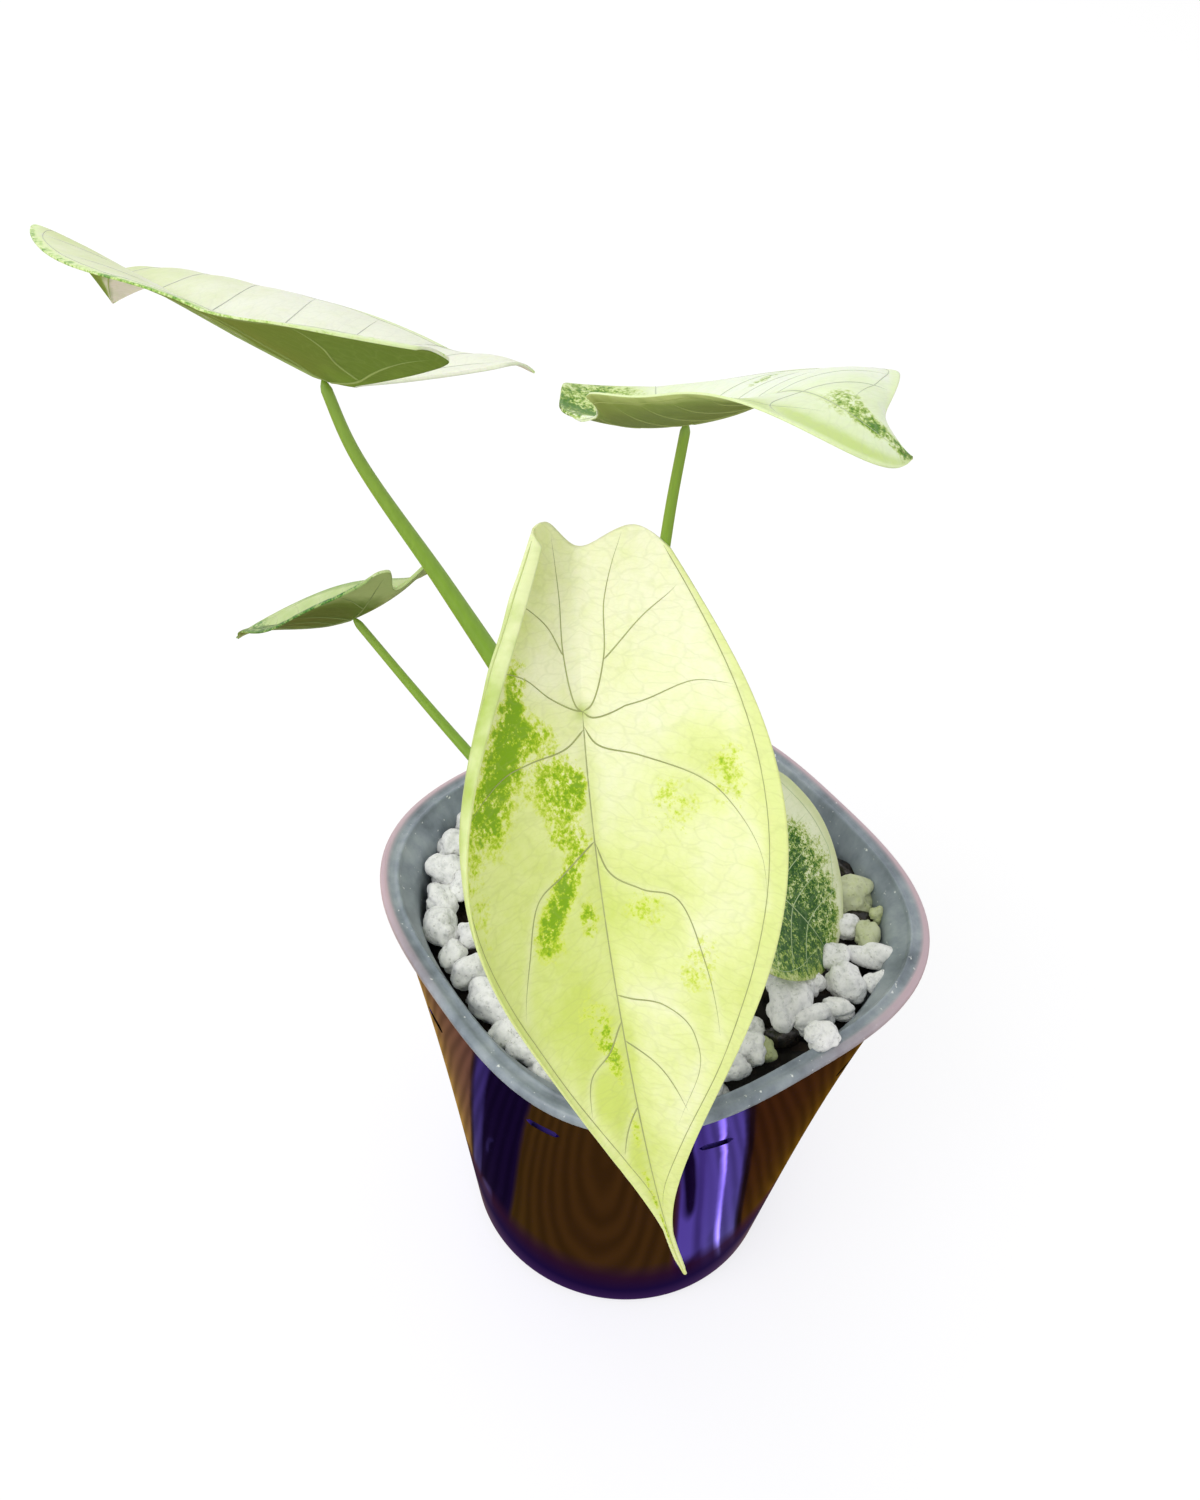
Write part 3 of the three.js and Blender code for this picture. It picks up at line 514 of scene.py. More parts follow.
def lobe_depth(leaf, a):
    """How far the back margin lies behind the stalk: a squared sine from the notch to the lobe's end at half
    way out, and a parabola from there to the corner."""
    inner = leaf["notch"] + (leaf["lobe"] - leaf["notch"]) * np.sin(np.pi * np.minimum(a, 0.5)) ** 2
    outer = leaf["lobe"] - (leaf["lobe"] - leaf["corner"]) * ((a - 0.5) / 0.5) ** 2
    return np.where(a < 0.5, inner, outer)


def midrib(leaf, y):
    """Point, sideways and upward direction of the midrib at y. Its pitch falls by bend and by the fourth power
    of the way to the tip times hook, and behind the stalk by lift; it swings sideways by sweep with the square
    of the way, and it twists evenly. The point is the running sum of the direction."""
    table = np.linspace(-leaf["lobe"], leaf["length"], 600)
    ahead = np.clip(table / leaf["length"], 0, 1)
    behind = np.clip(-table / leaf["lobe"], 0, 1)
    fall = leaf["bend"] * ahead + leaf["hook"] * ahead**4 + leaf["lift"] * behind ** leaf["lift_power"]
    pitch, yaw = np.radians(-fall), np.radians(leaf["sweep"] * ahead**2)
    twist = np.radians(leaf["twist"] * table / leaf["length"])[:, None]
    sp, cp, sy, cy = np.sin(pitch), np.cos(pitch), np.sin(yaw), np.cos(yaw)
    tangent = np.stack([sy * cp, cy * cp, sp], 1)
    up = np.stack([-sy * sp, -cy * sp, cp], 1)
    side = np.stack([cy, -sy, 0 * yaw], 1)
    step = (tangent[1:] + tangent[:-1]) / 2 * np.diff(table)[:, None]
    point = np.concatenate([np.zeros((1, 3)), np.cumsum(step, 0)])
    columns = np.concatenate(
        [point, side * np.cos(twist) + up * np.sin(twist), up * np.cos(twist) - side * np.sin(twist)], 1
    )
    origin = [np.interp(0, table, column) for column in columns.T[:3]]
    columns[:, :3] -= origin
    found = np.stack([np.interp(y, table, column) for column in columns.T], -1)
    return found[..., 0:3], found[..., 3:6], found[..., 6:9]


def blade_half(leaf, half, sign, v, a):
    """One half of the blade's middle surface over v (back to tip) and a (midrib to margin). Across the blade
    the slope is a parabola in v, plus arch times a, plus a curl at the margin and one on the lobe; the point
    is the running sum of that direction, raised by a wave along the margin."""
    share = width_share(leaf, v)
    tip = TIP_HALF_WIDTH * np.sqrt(np.clip((1 - v) / 0.05, 0.03, 1))
    width = np.maximum(leaf["half_width"] * share * (leaf["right_share"] if sign > 0 else 1), tip)
    beyond = np.clip((a - leaf["roll_start"]) / (1 - leaf["roll_start"]), 0, 1)
    curl = half["curl"] * beyond**2 * np.sqrt(np.clip(1 - v / leaf["roll_end"], 0, 1))
    lobe_curl = half["lobe_curl"] * a**2 * np.clip(1 - v / 0.3, 0, 1) ** 2
    slope = np.radians(blend_three(v, *half["slopes"]) + half["arch"] * a + curl + lobe_curl)
    middle = (slope[:, 1:] + slope[:, :-1]) / 2
    step = np.diff(a) * width
    start = np.zeros_like(v)
    across = np.concatenate([start, np.cumsum(np.cos(middle) * step, 1)], 1)
    rise = np.concatenate([start, np.cumsum(np.sin(middle) * step, 1)], 1)
    wave = a**2 * share * half["wave"] * np.sin(2 * np.pi * (leaf["waves"] * v + half["phase"]))
    depth = lobe_depth(leaf, a)
    y = -depth + (leaf["length"] + depth) * v
    point, side, up = midrib(leaf, y)
    return point + side * (sign * across)[..., None] + up * (rise + wave)[..., None], y, sign * width * a


def on_grid(field, station, side, leaf):
    """Values of a field over the blade's grid at places (station, side), blended between the grid's points."""
    depth = lobe_depth(leaf, np.abs(side))
    y = station * np.where(station > 0, leaf["length"], leaf["lobe"])
    v = np.clip((y + depth) / (leaf["length"] + depth), 0, 1)
    i = v * (field.shape[0] - 1)
    j = (np.clip(side, -1, 1) + 1) / 2 * (field.shape[1] - 1)
    i0, j0 = (np.clip(np.floor(k).astype(int), 0, n - 2) for k, n in zip((i, j), field.shape))
    fi, fj = (i - i0)[:, None], (j - j0)[:, None]
    low = field[i0, j0] * (1 - fj) + field[i0, j0 + 1] * fj
    high = field[i0 + 1, j0] * (1 - fj) + field[i0 + 1, j0 + 1] * fj
    return low * (1 - fi) + high * fi


def spots(station, side, marks):
    """Sum of soft-edged ellipses, each sheared by its slant and falling as exp(-r^3)."""
    total = np.zeros_like(station)
    for centre, out, half_length, half_width, slant, amount in marks:
        along = station - centre
        out_of = side - out - slant * along
        total += amount * np.exp(-(((along / half_length) ** 2 + (out_of / half_width) ** 2) ** 1.5))
    return total


@lru_cache(maxsize=None)
def vein_routes(name):
    """The veins of a blade as (route of stations and sides, width at its start and its end in shares of a
    main side vein). Side veins leave the midrib and bend forward; one vein runs along each margin."""
    tip = np.array([(0.0, 0.0), (0.3, 0.0), (0.6, 0.0), (0.97, 0.0)])
    routes = [(tip, 1.6, 0.6)]
    if name == "front":
        routes += [(np.array(places, float), 1.0, 0.45) for places in FRONT_VEINS]
    else:
        for sign in (-1, 1):
            turned = np.array([1, sign])
            for start, end in LATERALS:
                a = np.linspace(0, 0.9, 7)
                station = start + (end - start + 0.03 * sign) * (a / 0.9) ** 1.5
                routes.append((np.stack([station, sign * a], 1), 1.0, 0.45))
            routes += [(np.array(places, float) * turned, 1.0, 0.5) for places in LOBE_VEINS]
    for sign in (-1, 1):
        station = np.linspace(-0.8, 0.78, 14)
        a = 0.915 * np.sqrt(np.clip(1 - ((station - 0.52) / 0.27) ** 2, 0, 1))
        a = np.where(station < 0.52, 0.915, a)
        routes.append((np.stack([station, sign * a], 1), 0.55, 0.45))
    return routes


def across_midrib(place):
    """The surface blurred across the blade with a bell a fifth of its half width wide."""
    steps = np.arange(place.shape[1])
    weight = bell(steps[:, None] - steps[None], place.shape[1] / 10)
    return np.einsum("jk,ikc->ijc", weight / weight.sum(1, keepdims=True), place)


def trough_share(station, side):
    """How much the crease on the midrib gives way to a round trough: fully behind the stalk, hardly ahead."""
    behind = np.clip(0.35 - station * 1.6, 0, 1)
    return behind * bell(side, 0.36) * (np.abs(side) < 0.8)


@lru_cache(maxsize=None)
def blade_sheet(name):
    """The blade's surface on its grid: place, normal, station, side, distance to the nearest vein."""
    leaf, marks = LEAVES[name], MARKINGS[name]
    v = np.linspace(0, 1, marks["rows"] + 1)[:, None]
    a = np.linspace(0, 1, marks["columns"] + 1)[None, :]
    right, y, out = blade_half(leaf, leaf["right"], 1, v, a)
    left, _, out_left = blade_half(leaf, leaf["left"], -1, v, a)
    place = np.concatenate([left[:, :0:-1], right], 1)
    y = np.concatenate([y[:, :0:-1], y], 1)
    out = np.concatenate([out_left[:, :0:-1], out], 1)
    side = np.broadcast_to(np.concatenate([-a[:, :0:-1], a], 1), y.shape)
    station = np.where(y > 0, y / leaf["length"], y / leaf["lobe"])
    turn = Euler([math.radians(leaf["tilt"]), 0, math.radians(leaf["turn"])]).to_matrix()
    roll = Euler([0, math.radians(leaf["roll"]), 0]).to_matrix()
    place = place @ np.array(turn @ roll).T + np.array(leaf["attach"])
    flat = np.stack([y, out], -1)
    place = place + (across_midrib(place) - place) * trough_share(station, side)[..., None]
    distance = np.full(y.shape, 1e3)
    for route, start, _ in vein_routes(name):
        if start < 1:
            continue
        line = smooth_route(route, 60)
        for point in on_grid(flat, line[:, 0], line[:, 1], leaf):
            distance = np.minimum(distance, np.hypot(*np.moveaxis(flat - point, -1, 0)))
    normal = np.cross(np.gradient(place, axis=1), np.gradient(place, axis=0))
    normal /= np.linalg.norm(normal, axis=-1, keepdims=True)
    quilt = marks["quilt"] * (1 - bell(distance, 2.4 * leaf["half_width"] / 24)) * (1 - np.abs(side) ** 6)
    place = place + normal * (quilt - marks["quilt"])[..., None]
    normal = np.cross(np.gradient(place, axis=1), np.gradient(place, axis=0))
    normal /= np.linalg.norm(normal, axis=-1, keepdims=True)
    return dict(place=place, normal=normal, station=station, side=side, distance=distance, flat=flat)


def blade_body(name, thickness):
    """The blade as a closed sheet: the surface pushed half a thickness to either side, thinner towards the
    margin, and a strip that joins the two round the border. Returns points, faces and the masks."""
    sheet, marks = blade_sheet(name), MARKINGS[name]
    rows, columns = sheet["side"].shape
    half = (thickness / 2 * (1 - 0.45 * np.abs(sheet["side"]) ** 3))[..., None]
    top = (sheet["place"] + sheet["normal"] * half).reshape(-1, 3)
    bottom = (sheet["place"] - sheet["normal"] * half).reshape(-1, 3)
    count = rows * columns
    number = np.arange(count).reshape(rows, columns)
    border = np.concatenate([number[0, :-1], number[:-1, -1], number[-1, :0:-1], number[:0:-1, 0]])
    after = np.roll(border, -1)
    strip = np.stack([border, border + count, after + count, after], 1)
    faces = [grid_faces(rows, columns), grid_faces(rows, columns, count, flip=True), strip]
    station, side = sheet["station"], sheet["side"]
    reach = np.hypot(sheet["flat"][..., 0], sheet["flat"][..., 1])
    along, across = sheet["flat"][..., 0], sheet["flat"][..., 1]
    colour = np.stack([
        marks["tone_base"] + spots(station, side, marks["tone"]),
        spots(station, side, marks["mottle"]),
        bell(across, 1.1 * (1.1 - np.clip(station, 0, 1))) * np.clip(station * 8, 0, 1),
        np.ones_like(station),
    ], -1)
    where = np.stack([
        np.clip((np.abs(side) - 0.88) / 0.08, 0, 1),
        bell(sheet["distance"], 0.7),
        spots(station, side, marks["below"]),
        bell(reach, 1.1),
    ], -1)
    net = np.stack([along - 0.3 * np.abs(across), 0.42 * across, 0 * along, 0 * along], -1)
    masks = {"colouring": colour, "places": where, "venation": net}
    masks = {label: np.tile(values.reshape(-1, 4), (2, 1)) for label, values in masks.items()}
    material = np.repeat([0, 1, 0], [len(group) for group in faces])
    return np.concatenate([top, bottom]), faces, masks, material


def vein_body(name, thickness, width):
    """The blade's veins as tapered closed tubes half sunk in it: flat ones on the upper side, and stout
    round ones on the underside."""
    sheet, leaf = blade_sheet(name), LEAVES[name]
    scale = (leaf["half_width"] / 24) ** 0.6
    parts, material = [], []
    for route, start, end in vein_routes(name):
        line = smooth_route(route, 90)
        place = on_grid(sheet["place"], line[:, 0], line[:, 1], leaf)
        normal = on_grid(sheet["normal"], line[:, 0], line[:, 1], leaf)
        normal /= np.linalg.norm(normal, axis=1, keepdims=True)
        tangent = np.gradient(place, axis=0)
        sideways = np.cross(normal, tangent)
        sideways /= np.linalg.norm(sideways, axis=1, keepdims=True)
        share = np.linspace(0, 1, len(line))
        size = start + (end - start) * share
        fade = np.clip(share / 0.03, 0.3, 1) * np.clip((1 - share) / 0.3, 0.04, 1) ** 0.6
        margin = thickness / 2 * (1 - 0.45 * np.abs(line[:, 1]) ** 3)
        wide = width / 2 * size * fade * scale
        top = closed_tube(place + normal * margin[:, None], sideways, normal, wide, 0.045 * fade, 6)
        stout = 2.6 * wide * (1 if start > 1 else 0.7)
        under = closed_tube(place - normal * margin[:, None], sideways, normal, stout, stout * 0.8, 8)
        parts += [top, under]
        material += [np.zeros(sum(map(len, top[1])), int), np.ones(sum(map(len, under[1])), int)]
    points, faces = join(parts)
    return points, faces, np.concatenate(material)


def stalk_body(name, leaf, thickness):
    """A stalk along its route: it thins with the power 1.3 of the way left, swells to a sheath at its foot
    and rounds off in the blade's underside."""
    places = [(*leaf["foot"], STEM["top"] - 2), *leaf["lean"], leaf["attach"]]
    line = smooth_route(places, 130)
    share = np.linspace(0, 1, len(line))
    length = np.linalg.norm(np.diff(line, axis=0), axis=1).sum()
    radius = leaf["radii"][1] + (leaf["radii"][0] - leaf["radii"][1]) * (1 - share) ** 1.3
    radius = radius * (1 + 0.22 * bell(share * length, 5)) * np.sqrt(np.clip((1 - share) * length / 1.4, 0.03, 1))
    tangent = np.gradient(line, axis=0)
    tangent /= np.linalg.norm(tangent, axis=1, keepdims=True)
    sideways = np.cross(np.array([0.0, 1.0, 0.0]), tangent)
    sideways /= np.linalg.norm(sideways, axis=1, keepdims=True)
    upward = np.cross(tangent, sideways)
    points, faces = closed_tube(line, sideways, upward, radius, radius, 28)
    along = np.concatenate([np.repeat(share, 28), [0, 1]])
    masks = {"growth": np.stack([along, along, along, np.ones_like(along)], 1)}
    return points, faces, masks


# Pots


def cover_outside(z):
    """Half width of the cover pot's straight taper at a height."""
    return COVER["base_radius"] + (COVER["top_half"] - COVER["base_radius"]) * z / COVER["height"]


def cover_reach(half, z, turn):
    """Distance from the axis at a height and angle: a squircle that is round at the foot and whose power
    grows with the fourth power of the height."""
    squareness = 2 + (COVER["top_squareness"] - 2) * np.clip(z / COVER["height"], 0, 1) ** 4
    return squircle(half, squareness, turn)


def slot_holes(rows, first, between, reach, count, outline):
    """Blocks of the punched sheet for evenly spaced holes."""
    return [(*rows, first + k * between, first + k * between + 2 * reach, outline) for k in range(count)]


def rim_walls(outer, inner, offset, flip=False):
    """Faces that join the hole rims of two sheets, the second one's points starting at an offset."""
    walls = []
    for rim_out, rim_in in zip(outer, inner):
        after_out, after_in = np.roll(rim_out, -1), np.roll(rim_in, -1)
        wall = np.stack([rim_out, after_out, after_in + offset, rim_in + offset], 1)
        walls.append(wall[:, ::-1] if flip else wall)
    return walls


def cover_body(segments):
    """The cover pot: an outer and an inner taper, each a sheet over height and angle with its slots punched,
    joined by the slots' walls, the rounded edge and foot, and the floor."""
    segments = int(round(segments / 36)) * 36
    step = 360 / segments
    low, high = COVER["foot_rounding"], COVER["height"] - 0.5
    slot, block = COVER["slot_height"], 4.2
    heights = np.concatenate([
        np.linspace(low, slot - block, 14), slot + np.array([-2, 0, 2]), np.linspace(slot + block, high, 4),
    ])
    row = int(np.argmin(np.abs(heights - (slot - block))))
    reach = int(round(6 / step))
    half_length = (COVER["slot_length"] - COVER["slot_width"]) / 2
    angles = COVER["first_slot"] + (np.arange(segments) - reach) * step

    def taper(inward):
        def place(z, angle):
            turn = np.radians(angle)
            radius = cover_reach(cover_outside(z) - inward, z, turn)
            return np.stack([radius * np.cos(turn), radius * np.sin(turn), z], -1)
        return place

    def outline(offset):
        arc = np.radians(offset[1]) * cover_outside(slot)
        angle = np.arctan2(offset[0], arc)
        far = capsule_reach(angle, half_length, COVER["slot_width"] / 2)
        return np.stack([far * np.sin(angle), np.degrees(far * np.cos(angle) / cover_outside(slot))])

    holes = slot_holes((row, row + 4), 0, segments // COVER["slots"], reach, COVER["slots"], outline)
    outer = punched_sheet(taper(0), heights, angles, holes, True, flip=True)
    inner = punched_sheet(taper(COVER["wall"]), heights, angles, holes, True)
    points, faces = join([outer[:2], inner[:2]])
    faces += rim_walls(outer[2], inner[2], len(outer[0]), flip=True)
    turn = np.radians(angles)
    wall, floor, r = COVER["wall"], COVER["floor"], COVER["foot_rounding"]
    edge = rounded((COVER["top_half"] - 0.45, high + 0.05), 0.45, 0, 90, 5)[1:]
    edge = [(cover_outside(high), high), *edge, (COVER["top_half"] - wall, COVER["height"]),
            (cover_outside(high) - wall, high)]
    base = cover_outside(low)
    foot = [(base, low)] + [(base - r * (1 - math.cos(t)), low - r * math.sin(t)) for t in np.radians([15, 35, 55, 72, 90])]
    foot += [(12.0, 0.0), (0.02, 0.0)]
    inside = [(0.02, floor), (12.0, floor), (base - wall - 1.2, floor), (base - wall - 0.3, floor + 0.35), (base - wall, low)]
    for profile, flip in ((edge, True), (foot, False), (inside, False)):
        half, z = (np.array(column)[:, None] for column in zip(*profile))
        radius = cover_reach(half, z, turn[None])
        ring = np.stack([radius * np.cos(turn), radius * np.sin(turn), np.broadcast_to(z, radius.shape)], -1)
        faces += [grid_faces(len(profile), len(turn), len(points), wrap=True, flip=flip)]
        points = np.concatenate([points, ring.reshape(-1, 3)])
    return points, faces


def nursery_wall(z):
    """Half width and squareness of the nursery pot's outer wall at a height."""
    share = np.clip((z - NURSERY["base_height"]) / (NURSERY["rim_top"] - NURSERY["lip_height"] - NURSERY["base_height"]), 0, 1)
    half = NURSERY["base_half"] + (NURSERY["wall_half"] - NURSERY["base_half"]) * share
    return half, NURSERY["base_squareness"] + (NURSERY["wall_squareness"] - NURSERY["base_squareness"]) * share


def nursery_floor(half, squareness, z, segments, flip):
    """One side of the nursery pot's floor: a sheet over radius and angle with its drain holes punched."""
    step = 360 / segments
    reach = int(round(21 / step))
    near, far = NURSERY["drain_offset"] - 4.6, NURSERY["drain_offset"] + 4.6
    radii = np.concatenate([[0.02, 4.0], np.linspace(near, far, 5), [half - 1.5, half]])

    def place(radius, angle):
        turn = np.radians(angle)
        out = squircle(radius, 2 + (squareness - 2) * (radius / half) ** 4, turn)
        return np.stack([out * np.cos(turn), out * np.sin(turn), np.full_like(out, z)], -1)

    def outline(offset):
        arc = np.radians(offset[1]) * NURSERY["drain_offset"]
        angle = np.arctan2(offset[0], arc)
        size = NURSERY["drain_radius"]
        return np.stack([size * np.sin(angle), np.degrees(size * np.cos(angle) / NURSERY["drain_offset"])])

    first = int(round(45 / step)) - reach
    count = NURSERY["drain_holes"]
    holes = slot_holes((2, 6), first, segments // count, reach, count, outline)
    return punched_sheet(place, radii, np.arange(segments) * step, holes, True, flip=flip)


def nursery_body(segments):
    """The nursery pot: squircle rings up the outer wall, out under the flange, round the rolled lip with its
    groove and inner ridge, down the shoulder and the inner wall, and a floor with drain holes."""
    segments = int(round(segments / 36)) * 36
    top, half = NURSERY["rim_top"], NURSERY["rim_half"]
    under = top - NURSERY["lip_height"]
    rim, base, thick = NURSERY["rim_squareness"], NURSERY["base_height"], NURSERY["wall"]
    levels = []

    def wall(z, inward):
        outer, squareness = nursery_wall(z)
        levels.append((outer - inward, z, squareness))

    floor_top = base + NURSERY["floor"]
    for z, inward in ((0.0, 1.4), (0.35, 0.5), (1.4, 0)):
        wall(base + z, inward)
    for z in np.linspace(10, under - 2.4, 12):
        wall(z, 0)
    wall(under - 0.6, -0.05)
    wall(under, -0.1)
    levels.append((half - 1.6, under, rim))
    for x, z in rounded((half - 0.8, under + 0.8), 0.8, -90, 0, 5) + rounded((half - 0.9, top - 0.9), 0.9, 0, 90, 7):
        levels.append((x, z, rim))
    ridges = ((1.2, 0.1), (1.5, 0.34), (1.9, 0.42), (2.2, 0.36), (2.4, 0.18), (2.6, 0.12), (2.8, 0.22), (2.95, 0.6))
    for inward, down in ridges:
        levels.append((half - inward, top - down, rim))
    levels.append((NURSERY["shoulder_half"], under + 0.8, rim - 0.03))
    wall(under - 0.1, thick - 0.5)
    wall(under - 1.6, thick)
    for z in np.linspace(under - 4, floor_top + 1, 14):
        wall(z, thick)
    wall(floor_top + 0.3, thick + 0.4)
    wall(floor_top, thick + 1.2)
    shell = squircle_rings(levels, segments)
    outside = nursery_floor(*(levels[0][k] for k in (0, 2, 1)), segments, True)
    inside = nursery_floor(*(levels[-1][k] for k in (0, 2, 1)), segments, False)
    points, faces = join([shell, outside[:2], inside[:2]])
    for walls in rim_walls(outside[2], inside[2], len(outside[0])):
        faces.append((walls + len(shell[0]))[:, ::-1])
    return points, faces


# Potting mix, perlite and stem base


def ripple(direction, waves, seed, shape=()):
    """A smooth random field: the mean of sines along random directions, one for each wave number given."""
    draw = np.random.default_rng(seed)
    total = 0
    for number, amount in waves:
        axis = draw.normal(size=(*shape, 3))
        axis /= np.linalg.norm(axis, axis=-1, keepdims=True)
        phase = draw.uniform(0, 2 * np.pi, shape)
        dot = np.einsum("...k,...k->...", direction, axis[..., None, :] if shape else axis)
        total = total + amount * np.sin(number * dot + (phase[..., None] if shape else phase))
    return total


def mix_body(segments=160, rings=46):
    """The potting mix fills the pot up to a crumbly top: squircle rings whose height is a sum of sines in x
    and y, higher in the middle."""
    bottom = NURSERY["base_height"] + NURSERY["floor"] + GAP
    fill = NURSERY["wall"] + GAP
    levels = []
    for z, inward in ((bottom, 22), (bottom, 1.4), (bottom + 1.4, 0), (30, 0), (55, 0), (SOIL_TOP - 0.6, 0), (SOIL_TOP + 0.4, 0.4)):
        half, squareness = nursery_wall(z)
        levels.append((half - fill - inward, z, squareness))
    edge = levels[-1]
    first_top = len(levels)
    for share in np.linspace(0.985, 0.01, rings):
        levels.append((edge[0] * share, edge[1] + 0.6, 2 + (edge[2] - 2) * share))
    points, faces = squircle_form(levels, segments)
    top = points[first_top * segments :]
    spread = np.stack([top[:, 0], top[:, 1], 0 * top[:, 0]], 1)
    waves = [(0.9, 0.25), (1.7, 0.3), (2.6, 0.3), (3.9, 0.25), (5.5, 0.2), (2.1, 0.3), (7.5, 0.12)]
    top[:, 2] += np.clip(ripple(spread, waves, 5), -0.9, 0.9)
    return points, faces


def drawn_grains():
    """The grains' places by the seeded rule: radius, then x and y, kept clear of the wall, stem and others."""
    state = DRESSING["seed"]

    def draw():
        nonlocal state
        state = (state * 1664525 + 1013904223) % 4294967296
        return state / 4294967296

    top = SOIL_TOP + GAP + DRESSING["thickness"]
    outer, squareness = nursery_wall(top)
    room = outer - NURSERY["wall"] - GAP
    placed = []
    for attempt in range(DRESSING["attempts"]):
        if len(placed) == DRESSING["grains"]:
            break
        spread = DRESSING["largest"] - DRESSING["smallest"]
        radius = DRESSING["smallest"] + spread * draw() * (1 - attempt / DRESSING["attempts"])
        x = (2 * draw() - 1) * room
        y = (2 * draw() - 1) * room
        distance = math.hypot(x, y)
        limit = squircle(room - DRESSING["wall_clearance"] * radius, squareness, math.atan2(y, x))
        if distance > limit or distance < DRESSING["hole_radius"] + DRESSING["stem_clearance"] * radius:
            continue
        closeness = DRESSING["closeness"]
        if any(math.hypot(x - px, y - py) < closeness * (radius + pr) for px, py, pr in placed):
            continue
        placed.append((x, y, radius))
    grains = []
    for x, y, radius in placed:
        squash = (0.85 + 0.35 * draw(), 0.85 + 0.35 * draw(), 0.7 + 0.3 * draw())
        for _ in range(12):
            draw()
        grains.append((x, y, top + DRESSING["stand"] * radius, radius, *squash, 2 * math.pi * draw()))
    return np.array(grains)


def kept_grains():
    """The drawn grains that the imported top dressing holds: those whose upper half has corners there."""
    grains = drawn_grains()
    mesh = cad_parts["perlite"].data
    corners = np.zeros(len(mesh.vertices) * 3, np.float32)
    mesh.vertices.foreach_get("co", corners)
    corners = corners.reshape(-1, 3) / MM
    away = np.linalg.norm(corners[None] - grains[:, None, :3], axis=2)
    high = corners[None, :, 2] > grains[:, None, 2]
    return grains[((away < 1.3 * grains[:, 3:4]) & high).sum(1) >= 3]


def pebbles(grains, subdivisions, seed, knobbly=1.0):
    """Lumpy grains: a ball swollen by the height of sines along random directions, whose troughs are folded up
    into creases, so that round knobs stand between them; then squashed, turned and set in place."""
    edit = bmesh.new()
    bmesh.ops.create_icosphere(edit, subdivisions=subdivisions, radius=1)
    edit.verts.ensure_lookup_table()
    ball = np.array([vert.co for vert in edit.verts])
    faces = np.array([[vert.index for vert in face.verts] for face in edit.faces])
    edit.free()
    count = len(grains)
    direction = np.broadcast_to(ball, (count, *ball.shape))
    swell = 0.95 - 0.55 * knobbly + 0 * direction[..., 0]
    bumps = ((1.7, 0.26), (2.1, 0.22), (2.7, 0.18), (4.6, 0.09), (5.6, 0.07), (9.0, 0.035), (12.0, 0.025))
    for k, (number, amount) in enumerate(bumps):
        swell += knobbly * amount * np.abs(ripple(direction, [(number, 1.0)], seed + k, (count,)))
    swell += 0.05 * ripple(direction, [(2.2, 1.0), (3.1, 1.0)], seed + 20, (count,))
    shape = direction * swell[..., None] * grains[:, None, 4:7]
    cosine, sine = np.cos(grains[:, 7])[:, None], np.sin(grains[:, 7])[:, None]
    turned = np.stack([shape[..., 0] * cosine - shape[..., 1] * sine, shape[..., 0] * sine + shape[..., 1] * cosine,
                       shape[..., 2]], -1)
    points = turned * grains[:, None, 3:4] + grains[:, None, :3]
    numbers = faces[None] + (np.arange(count) * len(ball))[:, None, None]
    return points.reshape(-1, 3), [numbers.reshape(-1, 3)], len(ball)


def strewn(count, seed):
    """Crumbs strewn evenly over the bed inside the wall, sunk more or less into it."""
    draw = np.random.default_rng(seed)
    outer, squareness = nursery_wall(SOIL_TOP + 2)
    turn = draw.uniform(-np.pi, np.pi, count)
    size = draw.uniform(0.8, 2.0, count)
    far = np.sqrt(draw.uniform(0.08, 1, count)) * (squircle(outer - NURSERY["wall"], squareness, turn) - 0.3 - size)
    return np.stack([
        far * np.cos(turn), far * np.sin(turn), SOIL_TOP + 1.7 + draw.uniform(0.1, 0.9, count) * size, size,
        *draw.uniform(0.8, 1.25, (2, count)), draw.uniform(0.7, 1.0, count), draw.uniform(0, 2 * np.pi, count),
    ], 1)


def stem_levels():
    """Profile of the corm's neck: radius and height, with the rings that old leaf sheaths leave."""
    z = np.concatenate([[STEM["bottom"]], np.linspace(STEM["bottom"] + 1, STEM["top"] - 1.5, 60), [STEM["top"], STEM["top"] + 0.4]])
    rise = np.clip((z - STEM["bottom"]) / 5, 0, 1)
    neck = np.clip((z - STEM["top"] + 6) / 6, 0, 1)
    radius = STEM["radius"] * np.sqrt(rise * (2 - rise)) - (STEM["radius"] - STEM["neck_radius"]) * neck
    radius = radius * (1 - 0.55 * np.clip((z - STEM["top"] + 1.6) / 2, 0, 1) ** 2)
    radius = radius + 0.18 * np.sin(z * 2.4) * rise * (1 - neck)
    return [(max(float(r), 0.05), float(h), 2.0) for r, h in zip(radius, z)]


# Materials


